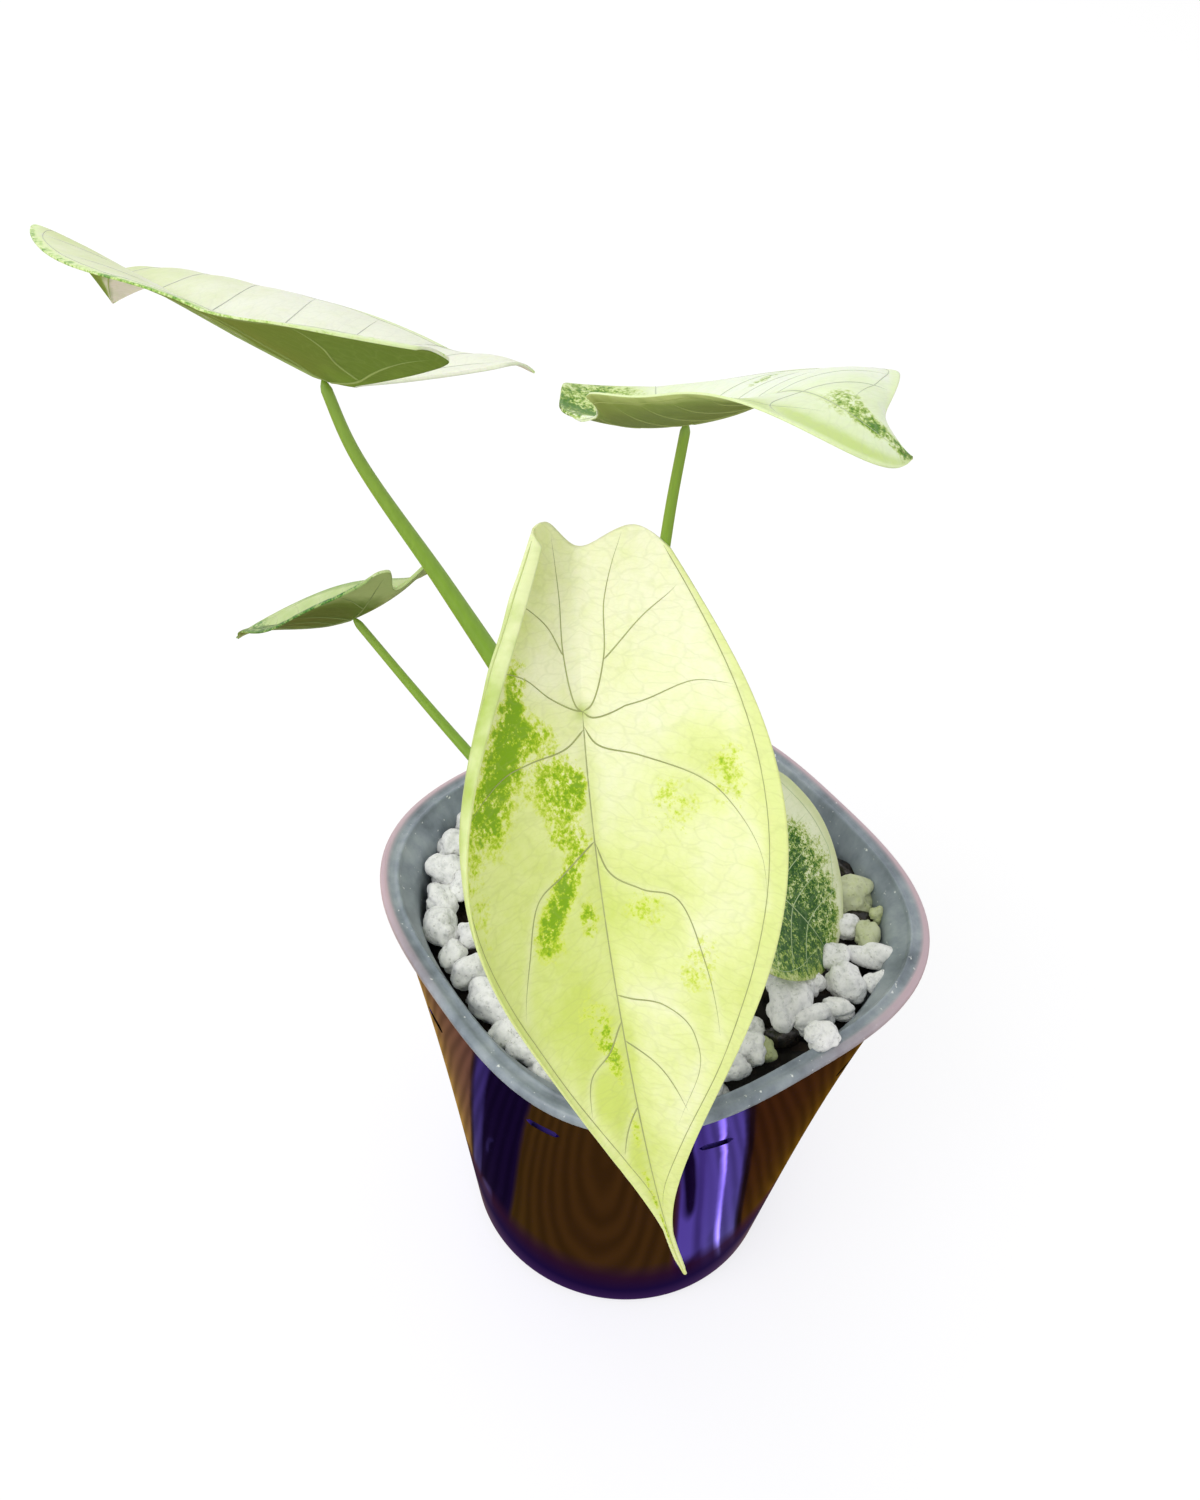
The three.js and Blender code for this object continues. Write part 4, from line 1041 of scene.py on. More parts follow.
def metallised_plastic(settings):
    """Vacuum-metallised ABS under a violet lacquer: moulded smooth, so the eye gets a tinted mirror with only
    a breath of orange peel, about 6 mm from crest to crest."""
    material, tree, shader = new_material("vacuum_metallised_violet_abs")
    shader.inputs["Base Color"].default_value = settings.mirror_colour
    shader.inputs["Metallic"].default_value = 1.0
    shader.inputs["Specular Tint"].default_value = (0.6, 0.55, 1.0, 1.0)
    place = add_node(tree, "TexCoord").outputs["Object"]
    dust = add_node(tree, "TexNoise", {"Vector": place, "Scale": per_metre(14), "Detail": 5.0}).outputs["Fac"]
    dull = add_node(tree, "MapRange", {"Value": dust, "From Min": 0.35, "From Max": 0.75, "To Min": 0.03, "To Max": 0.09})
    peel = add_node(tree, "TexNoise", {"Vector": place, "Scale": per_metre(6), "Detail": 1.0}).outputs["Fac"]
    bump = add_node(tree, "Bump", {"Height": peel, "Strength": 0.06, "Distance": 0.2 * MM})
    tree.links.new(dull.outputs["Result"], shader.inputs["Roughness"])
    tree.links.new(bump.outputs["Normal"], shader.inputs["Normal"])
    return material


def smoke_polypropylene(settings):
    """Thin injection-moulded polypropylene, smoke grey: waxy, a little see-through at its lip, with streaks
    along the wall, chalky specks, and painted mauve light from the violet cover pot on the far side of the lip."""
    material, tree, shader = new_material("smoke_grey_polypropylene")
    place = add_node(tree, "TexCoord").outputs["Object"]
    stretch = add_node(tree, "Mapping", {"Vector": place, "Scale": (1.0, 1.0, 0.22)}).outputs["Vector"]
    streak = add_node(tree, "TexNoise", {"Vector": stretch, "Scale": per_metre(7), "Detail": 5.0, "Roughness": 0.6})
    body = add_node(tree, "ValToRGB", {"Fac": streak.outputs["Fac"]}, stops=[
        (0.3, linear("#5f6972")), (0.52, tuple(settings.grey_colour)), (0.75, linear("#aab2b6")),
    ])
    speck = add_node(tree, "TexNoise", {"Vector": place, "Scale": per_metre(0.9), "Detail": 2.0}).outputs["Fac"]
    chalk = add_node(tree, "MapRange", {"Value": speck, "From Min": 0.7, "From Max": 0.76})
    chalked = add_node(tree, "Mix", {0: chalk.outputs["Result"], 6: body.outputs["Color"], 7: linear("#e3e6e4")},
                       data_type="RGBA")
    # The lip mask carries painted mauve light: the violet cover pot's colour seen through the thin lip, on its far
    # side.
    lip = add_node(tree, "Attribute", attribute_name="lip")
    painted_mauve = add_node(tree, "Mix", {0: lip.outputs["Fac"], 6: chalked.outputs[2], 7: linear("#bda6ae")}, data_type="RGBA")
    rough = add_node(tree, "MapRange", {"Value": streak.outputs["Fac"], "To Min": 0.22, "To Max": 0.45})
    bump = add_node(tree, "Bump", {"Height": streak.outputs["Fac"], "Strength": 0.25, "Distance": 0.15 * MM})
    tree.links.new(painted_mauve.outputs[2], shader.inputs["Base Color"])
    tree.links.new(rough.outputs["Result"], shader.inputs["Roughness"])
    tree.links.new(bump.outputs["Normal"], shader.inputs["Normal"])
    shader.inputs["IOR"].default_value = 1.49
    shader.inputs["Subsurface Weight"].default_value = 0.15
    shader.inputs["Subsurface Radius"].default_value = (1.2 * MM, 1.2 * MM, 1.4 * MM)
    shader.inputs["Subsurface Scale"].default_value = 1.0
    return material


def moist_mix(settings):
    """Damp bark, coir and peat: nearly black, with brown crumbs of about 2 mm that catch a little light."""
    material, tree, shader = new_material("moist_bark_and_peat_mix")
    place = add_node(tree, "TexCoord").outputs["Object"]
    crumb = add_node(tree, "TexVoronoi", {"Vector": place, "Scale": per_metre(2.2)})
    tint = add_node(tree, "ValToRGB", {"Fac": crumb.outputs["Color"]}, stops=[
        (0.2, linear("#0d0a08")), (0.55, tuple(settings.mix_colour)), (0.9, linear("#3a2a1c")),
    ])
    bump = add_node(tree, "Bump", {"Height": crumb.outputs["Distance"], "Strength": 0.8, "Distance": 0.8 * MM})
    tree.links.new(tint.outputs["Color"], shader.inputs["Base Color"])
    tree.links.new(bump.outputs["Normal"], shader.inputs["Normal"])
    shader.inputs["Roughness"].default_value = 0.8
    return material


def wet_bark():
    """Chips of composted bark, black and shiny with water, with fibres about 1 mm apart."""
    material, tree, shader = new_material("wet_composted_bark")
    place = add_node(tree, "TexCoord").outputs["Object"]
    fibre = add_node(tree, "TexNoise", {"Vector": place, "Scale": per_metre(1), "Detail": 4.0}).outputs["Fac"]
    tint = add_node(tree, "ValToRGB", {"Fac": fibre}, stops=[(0.35, linear("#0b0a09")), (0.7, linear("#2c231b"))])
    bump = add_node(tree, "Bump", {"Height": fibre, "Strength": 0.5, "Distance": 0.3 * MM})
    tree.links.new(tint.outputs["Color"], shader.inputs["Base Color"])
    tree.links.new(bump.outputs["Normal"], shader.inputs["Normal"])
    shader.inputs["Roughness"].default_value = 0.25
    return material


def expanded_perlite(settings):
    """Volcanic glass popped in a furnace: chalk white and matt, full of burst bubbles of about 0.5 mm whose
    pits get grey specks of painted shade, with green algae on grains that stay wet."""
    material, tree, shader = new_material("expanded_perlite")
    place = add_node(tree, "TexCoord").outputs["Object"]
    pits = add_node(tree, "TexVoronoi", {"Vector": place, "Scale": per_metre(0.75)}).outputs["Distance"]
    soft = add_node(tree, "TexNoise", {"Vector": place, "Scale": per_metre(1.1), "Detail": 5.0, "Roughness": 0.65})
    pit = add_node(tree, "MapRange", {"Value": pits, "From Min": 0.05, "From Max": 0.3})
    relief = add_node(tree, "Math", {0: pit.outputs["Result"], 1: soft.outputs["Fac"]}, operation="ADD")
    clean = add_node(tree, "ValToRGB", {"Fac": soft.outputs["Fac"]}, stops=[
        (0.3, linear("#cfd1d0")), (0.5, tuple(settings.grain_colour)), (0.75, linear("#f6f6f4")),
    ])
    # Grey specks of painted shade, standing for the shade inside the burst bubbles' pits.
    speck = add_node(tree, "TexNoise", {"Vector": place, "Scale": per_metre(0.6), "Detail": 1.0}).outputs["Fac"]
    pit_shade = add_node(tree, "MapRange", {"Value": speck, "From Min": 0.7, "From Max": 0.76, "To Max": 0.45})
    specked = add_node(tree, "Mix", {0: pit_shade.outputs["Result"], 6: clean.outputs["Color"], 7: linear("#7d7b76")},
                       data_type="RGBA")
    algae = add_node(tree, "Attribute", attribute_name="algae")
    patch = add_node(tree, "Math", {0: soft.outputs["Fac"], 1: 0.5}, operation="ADD")
    stain = add_node(tree, "Math", {0: algae.outputs["Fac"], 1: patch.outputs["Value"]}, operation="MULTIPLY",
                     use_clamp=True)
    stained = add_node(tree, "Mix", {0: stain.outputs["Value"], 6: specked.outputs[2], 7: linear("#b7bf8a")},
                       data_type="RGBA")
    bump = add_node(tree, "Bump", {"Height": relief.outputs["Value"], "Strength": 0.55, "Distance": 0.35 * MM})
    tree.links.new(stained.outputs[2], shader.inputs["Base Color"])
    tree.links.new(bump.outputs["Normal"], shader.inputs["Normal"])
    shader.inputs["Roughness"].default_value = 0.92
    return material


def corm_skin():
    """The corm's neck: pale green flesh under thin tan sheaths that leave rings about 2.5 mm apart."""
    material, tree, shader = new_material("corm_neck_with_dry_sheaths")
    place = add_node(tree, "TexCoord").outputs["Object"]
    rings = add_node(tree, "TexNoise", {"Vector": add_node(
        tree, "Mapping", {"Vector": place, "Scale": (0.2, 0.2, 1.0)}).outputs["Vector"], "Scale": per_metre(2.5)})
    tint = add_node(tree, "ValToRGB", {"Fac": rings.outputs["Fac"]}, stops=[
        (0.35, linear("#6d7a35")), (0.55, linear("#9aa35c")), (0.7, linear("#8b6f4a")),
    ])
    tree.links.new(tint.outputs["Color"], shader.inputs["Base Color"])
    shader.inputs["Roughness"].default_value = 0.6
    return material


def stalk_skin(settings):
    """A fleshy living stalk: smooth waxy fresh green with faint long fibres 0.8 mm apart, yellower at the top
    and browner in the sheath."""
    material, tree, shader = new_material("living_alocasia_stalk")
    place = add_node(tree, "TexCoord").outputs["Object"]
    growth = add_node(tree, "Attribute", attribute_name="growth").outputs["Fac"]
    stretch = add_node(tree, "Mapping", {"Vector": place, "Scale": (1.0, 1.0, 0.08)}).outputs["Vector"]
    fibre = add_node(tree, "TexNoise", {"Vector": stretch, "Scale": per_metre(0.8), "Detail": 3.0}).outputs["Fac"]
    tint = add_node(tree, "ValToRGB", {"Fac": growth}, stops=[
        (0.0, linear("#a8a264")), (0.08, linear("#93ad4a")), (0.4, tuple(settings.stalk_colour)), (1.0, linear("#8fae3c")),
    ])
    shade = add_node(tree, "Mix", {0: fibre, 6: linear("#5f8420"), 7: linear("#ffffff")}, data_type="RGBA")
    streaked = add_node(tree, "Mix", {0: 0.3, 6: tint.outputs["Color"], 7: shade.outputs[2]},
                        data_type="RGBA", blend_type="MULTIPLY")
    bump = add_node(tree, "Bump", {"Height": fibre, "Strength": 0.2, "Distance": 0.1 * MM})
    tree.links.new(streaked.outputs[2], shader.inputs["Base Color"])
    tree.links.new(bump.outputs["Normal"], shader.inputs["Normal"])
    shader.inputs["Roughness"].default_value = 0.38
    shader.inputs["Subsurface Weight"].default_value = 0.2
    shader.inputs["Subsurface Radius"].default_value = (0.9 * MM, 1.2 * MM, 0.4 * MM)
    shader.inputs["Subsurface Scale"].default_value = 1.0
    return material


def leaf_shader(name, roughness):
    """The start of a leaf material: its tree, shader and place, and the relief and lines of the fine veins. Those
    run out from the midrib in cells about 4 by 1.7 mm, with smaller ones between, drawn stronger than life."""
    material, tree, shader = new_material(name)
    place = add_node(tree, "TexCoord").outputs["Object"]
    shader.inputs["Roughness"].default_value = roughness
    shader.inputs["Specular IOR Level"].default_value = 0.25
    shader.inputs["Subsurface Weight"].default_value = 0.18
    shader.inputs["Subsurface Radius"].default_value = (0.6 * MM, 0.8 * MM, 0.3 * MM)
    shader.inputs["Subsurface Scale"].default_value = 1.0
    bend = add_node(tree, "TexNoise", {"Vector": place, "Scale": per_metre(3.5), "Detail": 2.0}).outputs["Color"]
    away = add_node(tree, "VectorMath", {0: bend, 1: (1.6, 1.6, 1.6)}, operation="MULTIPLY").outputs["Vector"]
    net = add_node(tree, "Attribute", attribute_name="venation").outputs["Vector"]
    run = add_node(tree, "VectorMath", {0: net, 1: away}, operation="ADD").outputs["Vector"]
    coarse = add_node(tree, "TexVoronoi", {"Vector": run, "Scale": 0.6}, feature="DISTANCE_TO_EDGE").outputs["Distance"]
    fine = add_node(tree, "TexVoronoi", {"Vector": run, "Scale": 1.5}, feature="DISTANCE_TO_EDGE").outputs["Distance"]
    line = add_node(tree, "MapRange", {"Value": coarse, "From Max": 0.09, "To Min": 0.11, "To Max": 0.0},
                    interpolation_type="SMOOTHSTEP")
    thin = add_node(tree, "MapRange", {"Value": fine, "From Max": 0.14, "To Min": 0.06, "To Max": 0.0})
    lines = add_node(tree, "Math", {0: line.outputs["Result"], 1: thin.outputs["Result"]}, operation="ADD")
    bump = add_node(tree, "Bump", {"Height": coarse, "Strength": 0.25, "Distance": 0.12 * MM})
    tree.links.new(bump.outputs["Normal"], shader.inputs["Normal"])
    return material, tree, shader, place, lines.outputs["Value"]


def leaf_upper(name):
    """The upper side of a living blade: satin wax over tissue that lacks chlorophyll in cream sectors, with
    mottled green where cells kept it. The mottle breaks up at about three sizes, down to 0.6 mm flecks."""
    marks = MARKINGS[name]
    material, tree, shader, place, lines = leaf_shader(f"living_leaf_upper_{name}", 0.42)

    def noise(size, detail, roughness=0.6):
        inputs = {"Vector": place, "Scale": per_metre(size), "Detail": detail, "Roughness": roughness}
        return add_node(tree, "TexNoise", inputs).outputs["Fac"]

    def shaken(mask, steps):
        """The mask plus each noise about its middle times a weight."""
        for field, weight in steps:
            level = add_node(tree, "Math", {0: field, 1: weight, 2: -0.5 * weight}, operation="MULTIPLY_ADD")
            mask = add_node(tree, "Math", {0: mask, 1: level.outputs["Value"]}, operation="ADD").outputs["Value"]
        return mask

    def broken(mask, steps):
        """The mask times one plus the weighted noises, and a little of those noises alone."""
        total = shaken(0.0, steps)
        part = add_node(tree, "Math", {0: mask, 1: total, 2: mask}, operation="MULTIPLY_ADD").outputs["Value"]
        return add_node(tree, "Math", {0: total, 1: 0.16, 2: part}, operation="MULTIPLY_ADD").outputs["Value"]

    def mixed(share, level, base, colour):
        amount = add_node(tree, "Math", {0: share, 1: level}, operation="MULTIPLY", use_clamp=True).outputs["Value"]
        return add_node(tree, "Mix", {0: amount, 6: base, 7: colour}, data_type="RGBA").outputs[2]

    cloud, blotch = noise(9, 3.0), noise(marks["flake"] * 2.6, 3.0)
    flake, speck = noise(marks["flake"], 3.0, 0.7), noise(marks["flake"] * 0.36, 2.0, 0.7)
    colouring = add_node(tree, "SeparateColor", {
        "Color": add_node(tree, "Attribute", attribute_name="colouring").outputs["Color"]})
    where_node = add_node(tree, "Attribute", attribute_name="places")
    where = add_node(tree, "SeparateColor", {"Color": where_node.outputs["Color"]})
    tone = shaken(colouring.outputs["Red"], [(cloud, 0.8), (flake, 0.3)])
    base = add_node(tree, "ValToRGB", {"Fac": tone}, stops=[
        (0.05, linear(marks["cream"])), (0.45, linear(marks["pale"])), (0.95, linear(marks["lime"])),
    ]).outputs["Color"]
    base = mixed(where.outputs["Red"], 0.75, base, linear(marks["margin"]))
    base = mixed(where.outputs["Green"], 0.3, base, linear(marks["cream"]))
    base = mixed(colouring.outputs["Blue"], 0.5, base, linear(marks["lime"]))
    mottle = broken(colouring.outputs["Green"], [(blotch, 1.8), (flake, 2.6), (speck, 2.0)])
    greens = [linear(colour) for colour in marks["greens"]]
    painted = add_node(tree, "ValToRGB", {"Fac": mottle}, stops=[
        (0.26, (*greens[0][:3], 0.0)), (0.42, (*greens[0][:3], 0.7)), (0.6, (*greens[1][:3], 0.95)), (0.8, greens[2]),
        (1.0, greens[3]),
    ])
    base = mixed(painted.outputs["Alpha"], 1.0, base, painted.outputs["Color"])
    base = mixed(lines, 1.0, base, linear(marks["vein"]))
    base = mixed(where_node.outputs["Alpha"], 0.8, base, linear(marks["knot"]))
    tree.links.new(base, shader.inputs["Base Color"])
    return material


def leaf_lower(name):
    """The underside of a living blade: duller and less green than the top, with the same cream sectors
    showing through, and the same fine veins."""
    marks = MARKINGS[name]
    material, tree, shader, place, lines = leaf_shader(f"living_leaf_lower_{name}", 0.55)
    cloud = add_node(tree, "TexNoise", {"Vector": place, "Scale": per_metre(5), "Detail": 5.0}).outputs["Fac"]
    where = add_node(tree, "SeparateColor", {
        "Color": add_node(tree, "Attribute", attribute_name="places").outputs["Color"]})
    level = add_node(tree, "Math", {0: cloud, 1: 0.9, 2: -0.45}, operation="MULTIPLY_ADD").outputs["Value"]
    green = add_node(tree, "Math", {0: where.outputs["Blue"], 1: level}, operation="ADD").outputs["Value"]
    tint = add_node(tree, "ValToRGB", {"Fac": green}, stops=[
        (0.1, linear(marks["below_pale"])), (0.5, linear(marks["below_green"])),
        (1.0, tuple(0.75 * c for c in linear(marks["below_green"])[:3]) + (1.0,)),
    ]).outputs["Color"]
    lined = add_node(tree, "Mix", {0: lines, 6: tint, 7: linear(marks["below_vein"])}, data_type="RGBA").outputs[2]
    tree.links.new(lined, shader.inputs["Base Color"])
    return material


def vein_skin(name, colour):
    """A leaf vein: firm waxy tissue, with slight changes of depth each 4 mm."""
    material, tree, shader = new_material(f"leaf_vein_{name}")
    place = add_node(tree, "TexCoord").outputs["Object"]
    drift = add_node(tree, "TexNoise", {"Vector": place, "Scale": per_metre(4)}).outputs["Fac"]
    darker = tuple(0.82 * c for c in linear(colour)[:3]) + (1.0,)
    tint = add_node(tree, "ValToRGB", {"Fac": drift}, stops=[(0.35, darker), (0.65, linear(colour))])
    tree.links.new(tint.outputs["Color"], shader.inputs["Base Color"])
    shader.inputs["Roughness"].default_value = 0.5
    return material


# Operators


class ALOCASIA_OT_cover_pot(bpy.types.Operator):
    """Makes the mirror cover pot with its ring of air slots"""

    bl_idname = "alocasia.cover_pot"
    bl_label = "Cover pot"

    def execute(self, context):
        settings = context.scene.alocasia_pots
        points, faces = cover_body(settings.segments)
        make_piece("cover_pot_mirror", points, faces, [metallised_plastic(settings)], "cover_pot", ["cover_pot"],
                   sharp=32, weld=True)
        return {"FINISHED"}


class ALOCASIA_OT_nursery_pot(bpy.types.Operator):
    """Makes the squircle nursery pot with its rolled lip"""

    bl_idname = "alocasia.nursery_pot"
    bl_label = "Nursery pot"

    def execute(self, context):
        settings = context.scene.alocasia_pots
        points, faces = nursery_body(settings.segments)
        # lip marks where mauve light from the violet cover pot is painted: the lip's outer top edge, on the side turned
        # away from -45 degrees.
        turn = np.arctan2(points[:, 1], points[:, 0])
        away = 0.5 - 0.5 * np.cos(turn - math.radians(-45))
        high = np.clip((points[:, 2] - NURSERY["rim_top"] + 2.2) / 0.4, 0, 1)
        out = np.hypot(points[:, 0], points[:, 1]) / squircle(NURSERY["rim_half"], NURSERY["rim_squareness"], turn)
        lip = high * np.clip((out - 0.966) / 0.012, 0, 1) * np.clip((away - 0.12) / 0.25, 0, 1)
        masks = {"lip": np.stack([lip, lip, lip, np.ones_like(lip)], 1)}
        make_piece("nursery_pot_smoke", points, faces, [smoke_polypropylene(settings)], "nursery_pot",
                   ["nursery_pot"], masks=masks, sharp=50, weld=True)
        return {"FINISHED"}


class ALOCASIA_OT_potting_mix(bpy.types.Operator):
    """Makes the potting mix and the corm's neck that stands in it"""

    bl_idname = "alocasia.potting_mix"
    bl_label = "Potting mix and stem"

    BARK = (
        (19.4, 29.6, 78.6, 2.4, 1.5, 0.8, 0.7, 0.5), (9.2, 34.2, 78.6, 2.2, 1.4, 0.7, 0.8, 0.2),
        (24.6, 24.2, 78.0, 2.4, 1.4, 0.9, 0.7, 2.0), (29.8, 3.8, 78.0, 2.6, 1.4, 0.8, 0.7, 1.2),
        (-29.5, -9.0, 78.2, 2.2, 1.4, 0.8, 0.6, 0.4), (-6.0, 31.0, 78.2, 2.4, 1.5, 0.7, 0.6, 2.6),
        (28.5, -14.0, 78.0, 2.0, 1.5, 0.8, 0.6, 1.0), (2.0, -30.5, 78.2, 2.2, 1.4, 0.8, 0.6, 0.2),
    )

    def execute(self, context):
        settings = context.scene.alocasia_dressing
        make_piece("potting_mix", *mix_body(), [moist_mix(settings)], "substrate", ["substrate"])
        make_piece("bark_bits", *pebbles(np.array(self.BARK), 3, 3, 0.5)[:2], [wet_bark()], "substrate")
        make_piece("corm_neck", *squircle_form(stem_levels(), 48), [corm_skin()], "stem", ["stem_base"])
        return {"FINISHED"}


class ALOCASIA_OT_top_dressing(bpy.types.Operator):
    """Strews the perlite: the grains that show in front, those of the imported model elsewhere, and crumbs"""

    bl_idname = "alocasia.top_dressing"
    bl_label = "Perlite"

    SEEN_GRAINS = (
        (14.8, 30.4, 80.0, 3.5, 1.2, 0.95, 1.0, 0.6, 0.8), (22.6, 27.2, 79.6, 2.4, 1.35, 0.9, 0.9, -0.9, 0.8),
        (20.7, 31.0, 80.6, 1.4, 0.9, 1.1, 1.2, 0.3, 0.9), (30.6, -0.4, 78.6, 1.9, 1.1, 1.0, 0.9, 0.2, 1.0),
        (36.6, 4.6, 85.6, 2.6, 1.05, 0.9, 0.8, 0.9, 0), (27.4, 25.4, 80.6, 2.7, 1.75, 0.7, 0.8, 0.75, 0),
        (19.6, 25.8, 79.8, 2.3, 1.1, 0.8, 0.9, 1.2, 0), (28.1, 17.9, 80.2, 3.2, 1.15, 0.9, 0.95, 0.1, 0),
        (30.7, 21.6, 80.4, 2.0, 1.2, 0.9, 0.9, 1.6, 0), (26.6, 6.6, 80.2, 3.8, 1.2, 0.9, 0.9, 2.3, 0),
        (25.4, 12.8, 80.0, 2.4, 1.0, 0.9, 1.0, 0.4, 0), (30.6, 8.8, 79.8, 2.6, 1.5, 0.8, 0.85, 1.4, 0),
        (31.2, 13.8, 79.6, 2.2, 1.3, 0.8, 0.8, 0.7, 0), (23.6, 19.4, 80.0, 2.6, 1.0, 1.0, 0.9, 2.0, 0),
        (22.0, 9.4, 79.8, 2.5, 1.1, 0.9, 0.9, 0.9, 0), (30.0, -2.4, 80.0, 2.5, 1.1, 0.9, 0.9, 2.6, 0),
        (31.0, -7.2, 79.6, 2.4, 1.2, 0.8, 0.9, 1.1, 0), (-32.4, -15.6, 80.0, 2.6, 0.9, 1.1, 0.9, 0.3, 0),
        (-29.2, -20.4, 80.0, 2.8, 1.2, 0.9, 0.9, 1.9, 0), (-24.2, -24.3, 80.2, 3.4, 1.1, 0.9, 1.0, 0.6, 0),
        (-19.6, -28.2, 80.0, 3.0, 1.0, 1.0, 0.9, 1.3, 0), (-20.4, -22.8, 80.4, 3.2, 1.1, 0.9, 0.9, 2.2, 0),
        (-14.8, -30.6, 79.8, 3.2, 1.2, 0.9, 0.9, 0.2, 0), (-10.2, -27.4, 80.2, 2.8, 1.0, 0.9, 0.9, 0.9, 0),
        (-9.0, -32.0, 79.6, 2.4, 1.2, 0.9, 0.8, 2.4, 0), (-4.4, -31.2, 80.0, 3.1, 1.15, 0.9, 0.9, 1.6, 0),
        (2.4, -31.6, 80.0, 3.5, 1.2, 0.9, 0.9, 0.4, 0), (8.2, -32.4, 79.6, 2.5, 1.1, 0.9, 0.9, 1.8, 0),
        (12.6, -31.6, 79.8, 2.7, 1.2, 0.9, 0.9, 0.7, 0), (17.0, -31.4, 79.6, 2.6, 1.1, 0.9, 0.9, 2.8, 0),
    )

    def execute(self, context):
        settings = context.scene.alocasia_dressing
        odd = np.array(self.SEEN_GRAINS)
        grains = kept_grains()
        apart = np.hypot(grains[:, None, 0] - odd[:, 0], grains[:, None, 1] - odd[:, 1])
        grains = grains[(apart > 0.72 * (grains[:, None, 3] + odd[:, 3])).all(1)]
        big = np.concatenate([grains, odd[:, :8]])
        crumbs = strewn(settings.crumbs, 12)
        apart = np.hypot(crumbs[:, None, 0] - big[:, 0], crumbs[:, None, 1] - big[:, 1])
        crumbs = crumbs[(apart > 0.85 * big[:, 3] + 0.35 * crumbs[:, None, 3]).all(1)]
        parts = [pebbles(big, 4, 7), pebbles(crumbs, 2, 41)]
        algae = np.repeat(np.concatenate([np.zeros(len(grains)), odd[:, 8]]), parts[0][2])
        algae = np.concatenate([algae, np.zeros(len(parts[1][0]))])
        points, faces = join([part[:2] for part in parts])
        masks = {"algae": np.stack([algae, algae, algae, np.ones_like(algae)], 1)}
        make_piece("perlite_grains", points, faces, [expanded_perlite(settings)], "perlite", ["perlite"], masks=masks)
        return {"FINISHED"}


class ALOCASIA_OT_stalks(bpy.types.Operator):
    """Makes the five leaf stalks"""

    bl_idname = "alocasia.stalks"
    bl_label = "Stalks"

    def execute(self, context):
        settings = context.scene.alocasia_foliage
        skin = stalk_skin(settings)
        for name, leaf in LEAVES.items():
            points, faces, masks = stalk_body(name, leaf, settings.blade_thickness / MM)
            make_piece(f"stalk_{name}", points, faces, [skin], "petiole", [f"petiole_{name}"], masks=masks)
        return {"FINISHED"}


class ALOCASIA_OT_blades(bpy.types.Operator):
    """Makes the five blades with their waves, quilting and markings"""

    bl_idname = "alocasia.blades"
    bl_label = "Blades"

    def execute(self, context):
        thickness = context.scene.alocasia_foliage.blade_thickness / MM
        for name in LEAVES:
            points, faces, masks, material = blade_body(name, thickness)
            make_piece(f"leaf_{name}", points, faces, [leaf_upper(name), leaf_lower(name)], "blade",
                       [f"blade_{name}"], face_material=material, masks=masks)
        return {"FINISHED"}


class ALOCASIA_OT_veins(bpy.types.Operator):
    """Lays the veins along both sides of the blades"""

    bl_idname = "alocasia.veins"
    bl_label = "Veins"

    def execute(self, context):
        settings = context.scene.alocasia_foliage
        for name in LEAVES:
            marks = MARKINGS[name]
            points, faces, material = vein_body(name, settings.blade_thickness / MM, settings.vein_width / MM)
            skins = [vein_skin(f"upper_{name}", marks["vein"]), vein_skin(f"lower_{name}", marks["below_vein"])]
            make_piece(f"veins_{name}", points, faces, skins, "blade", face_material=material)
        return {"FINISHED"}


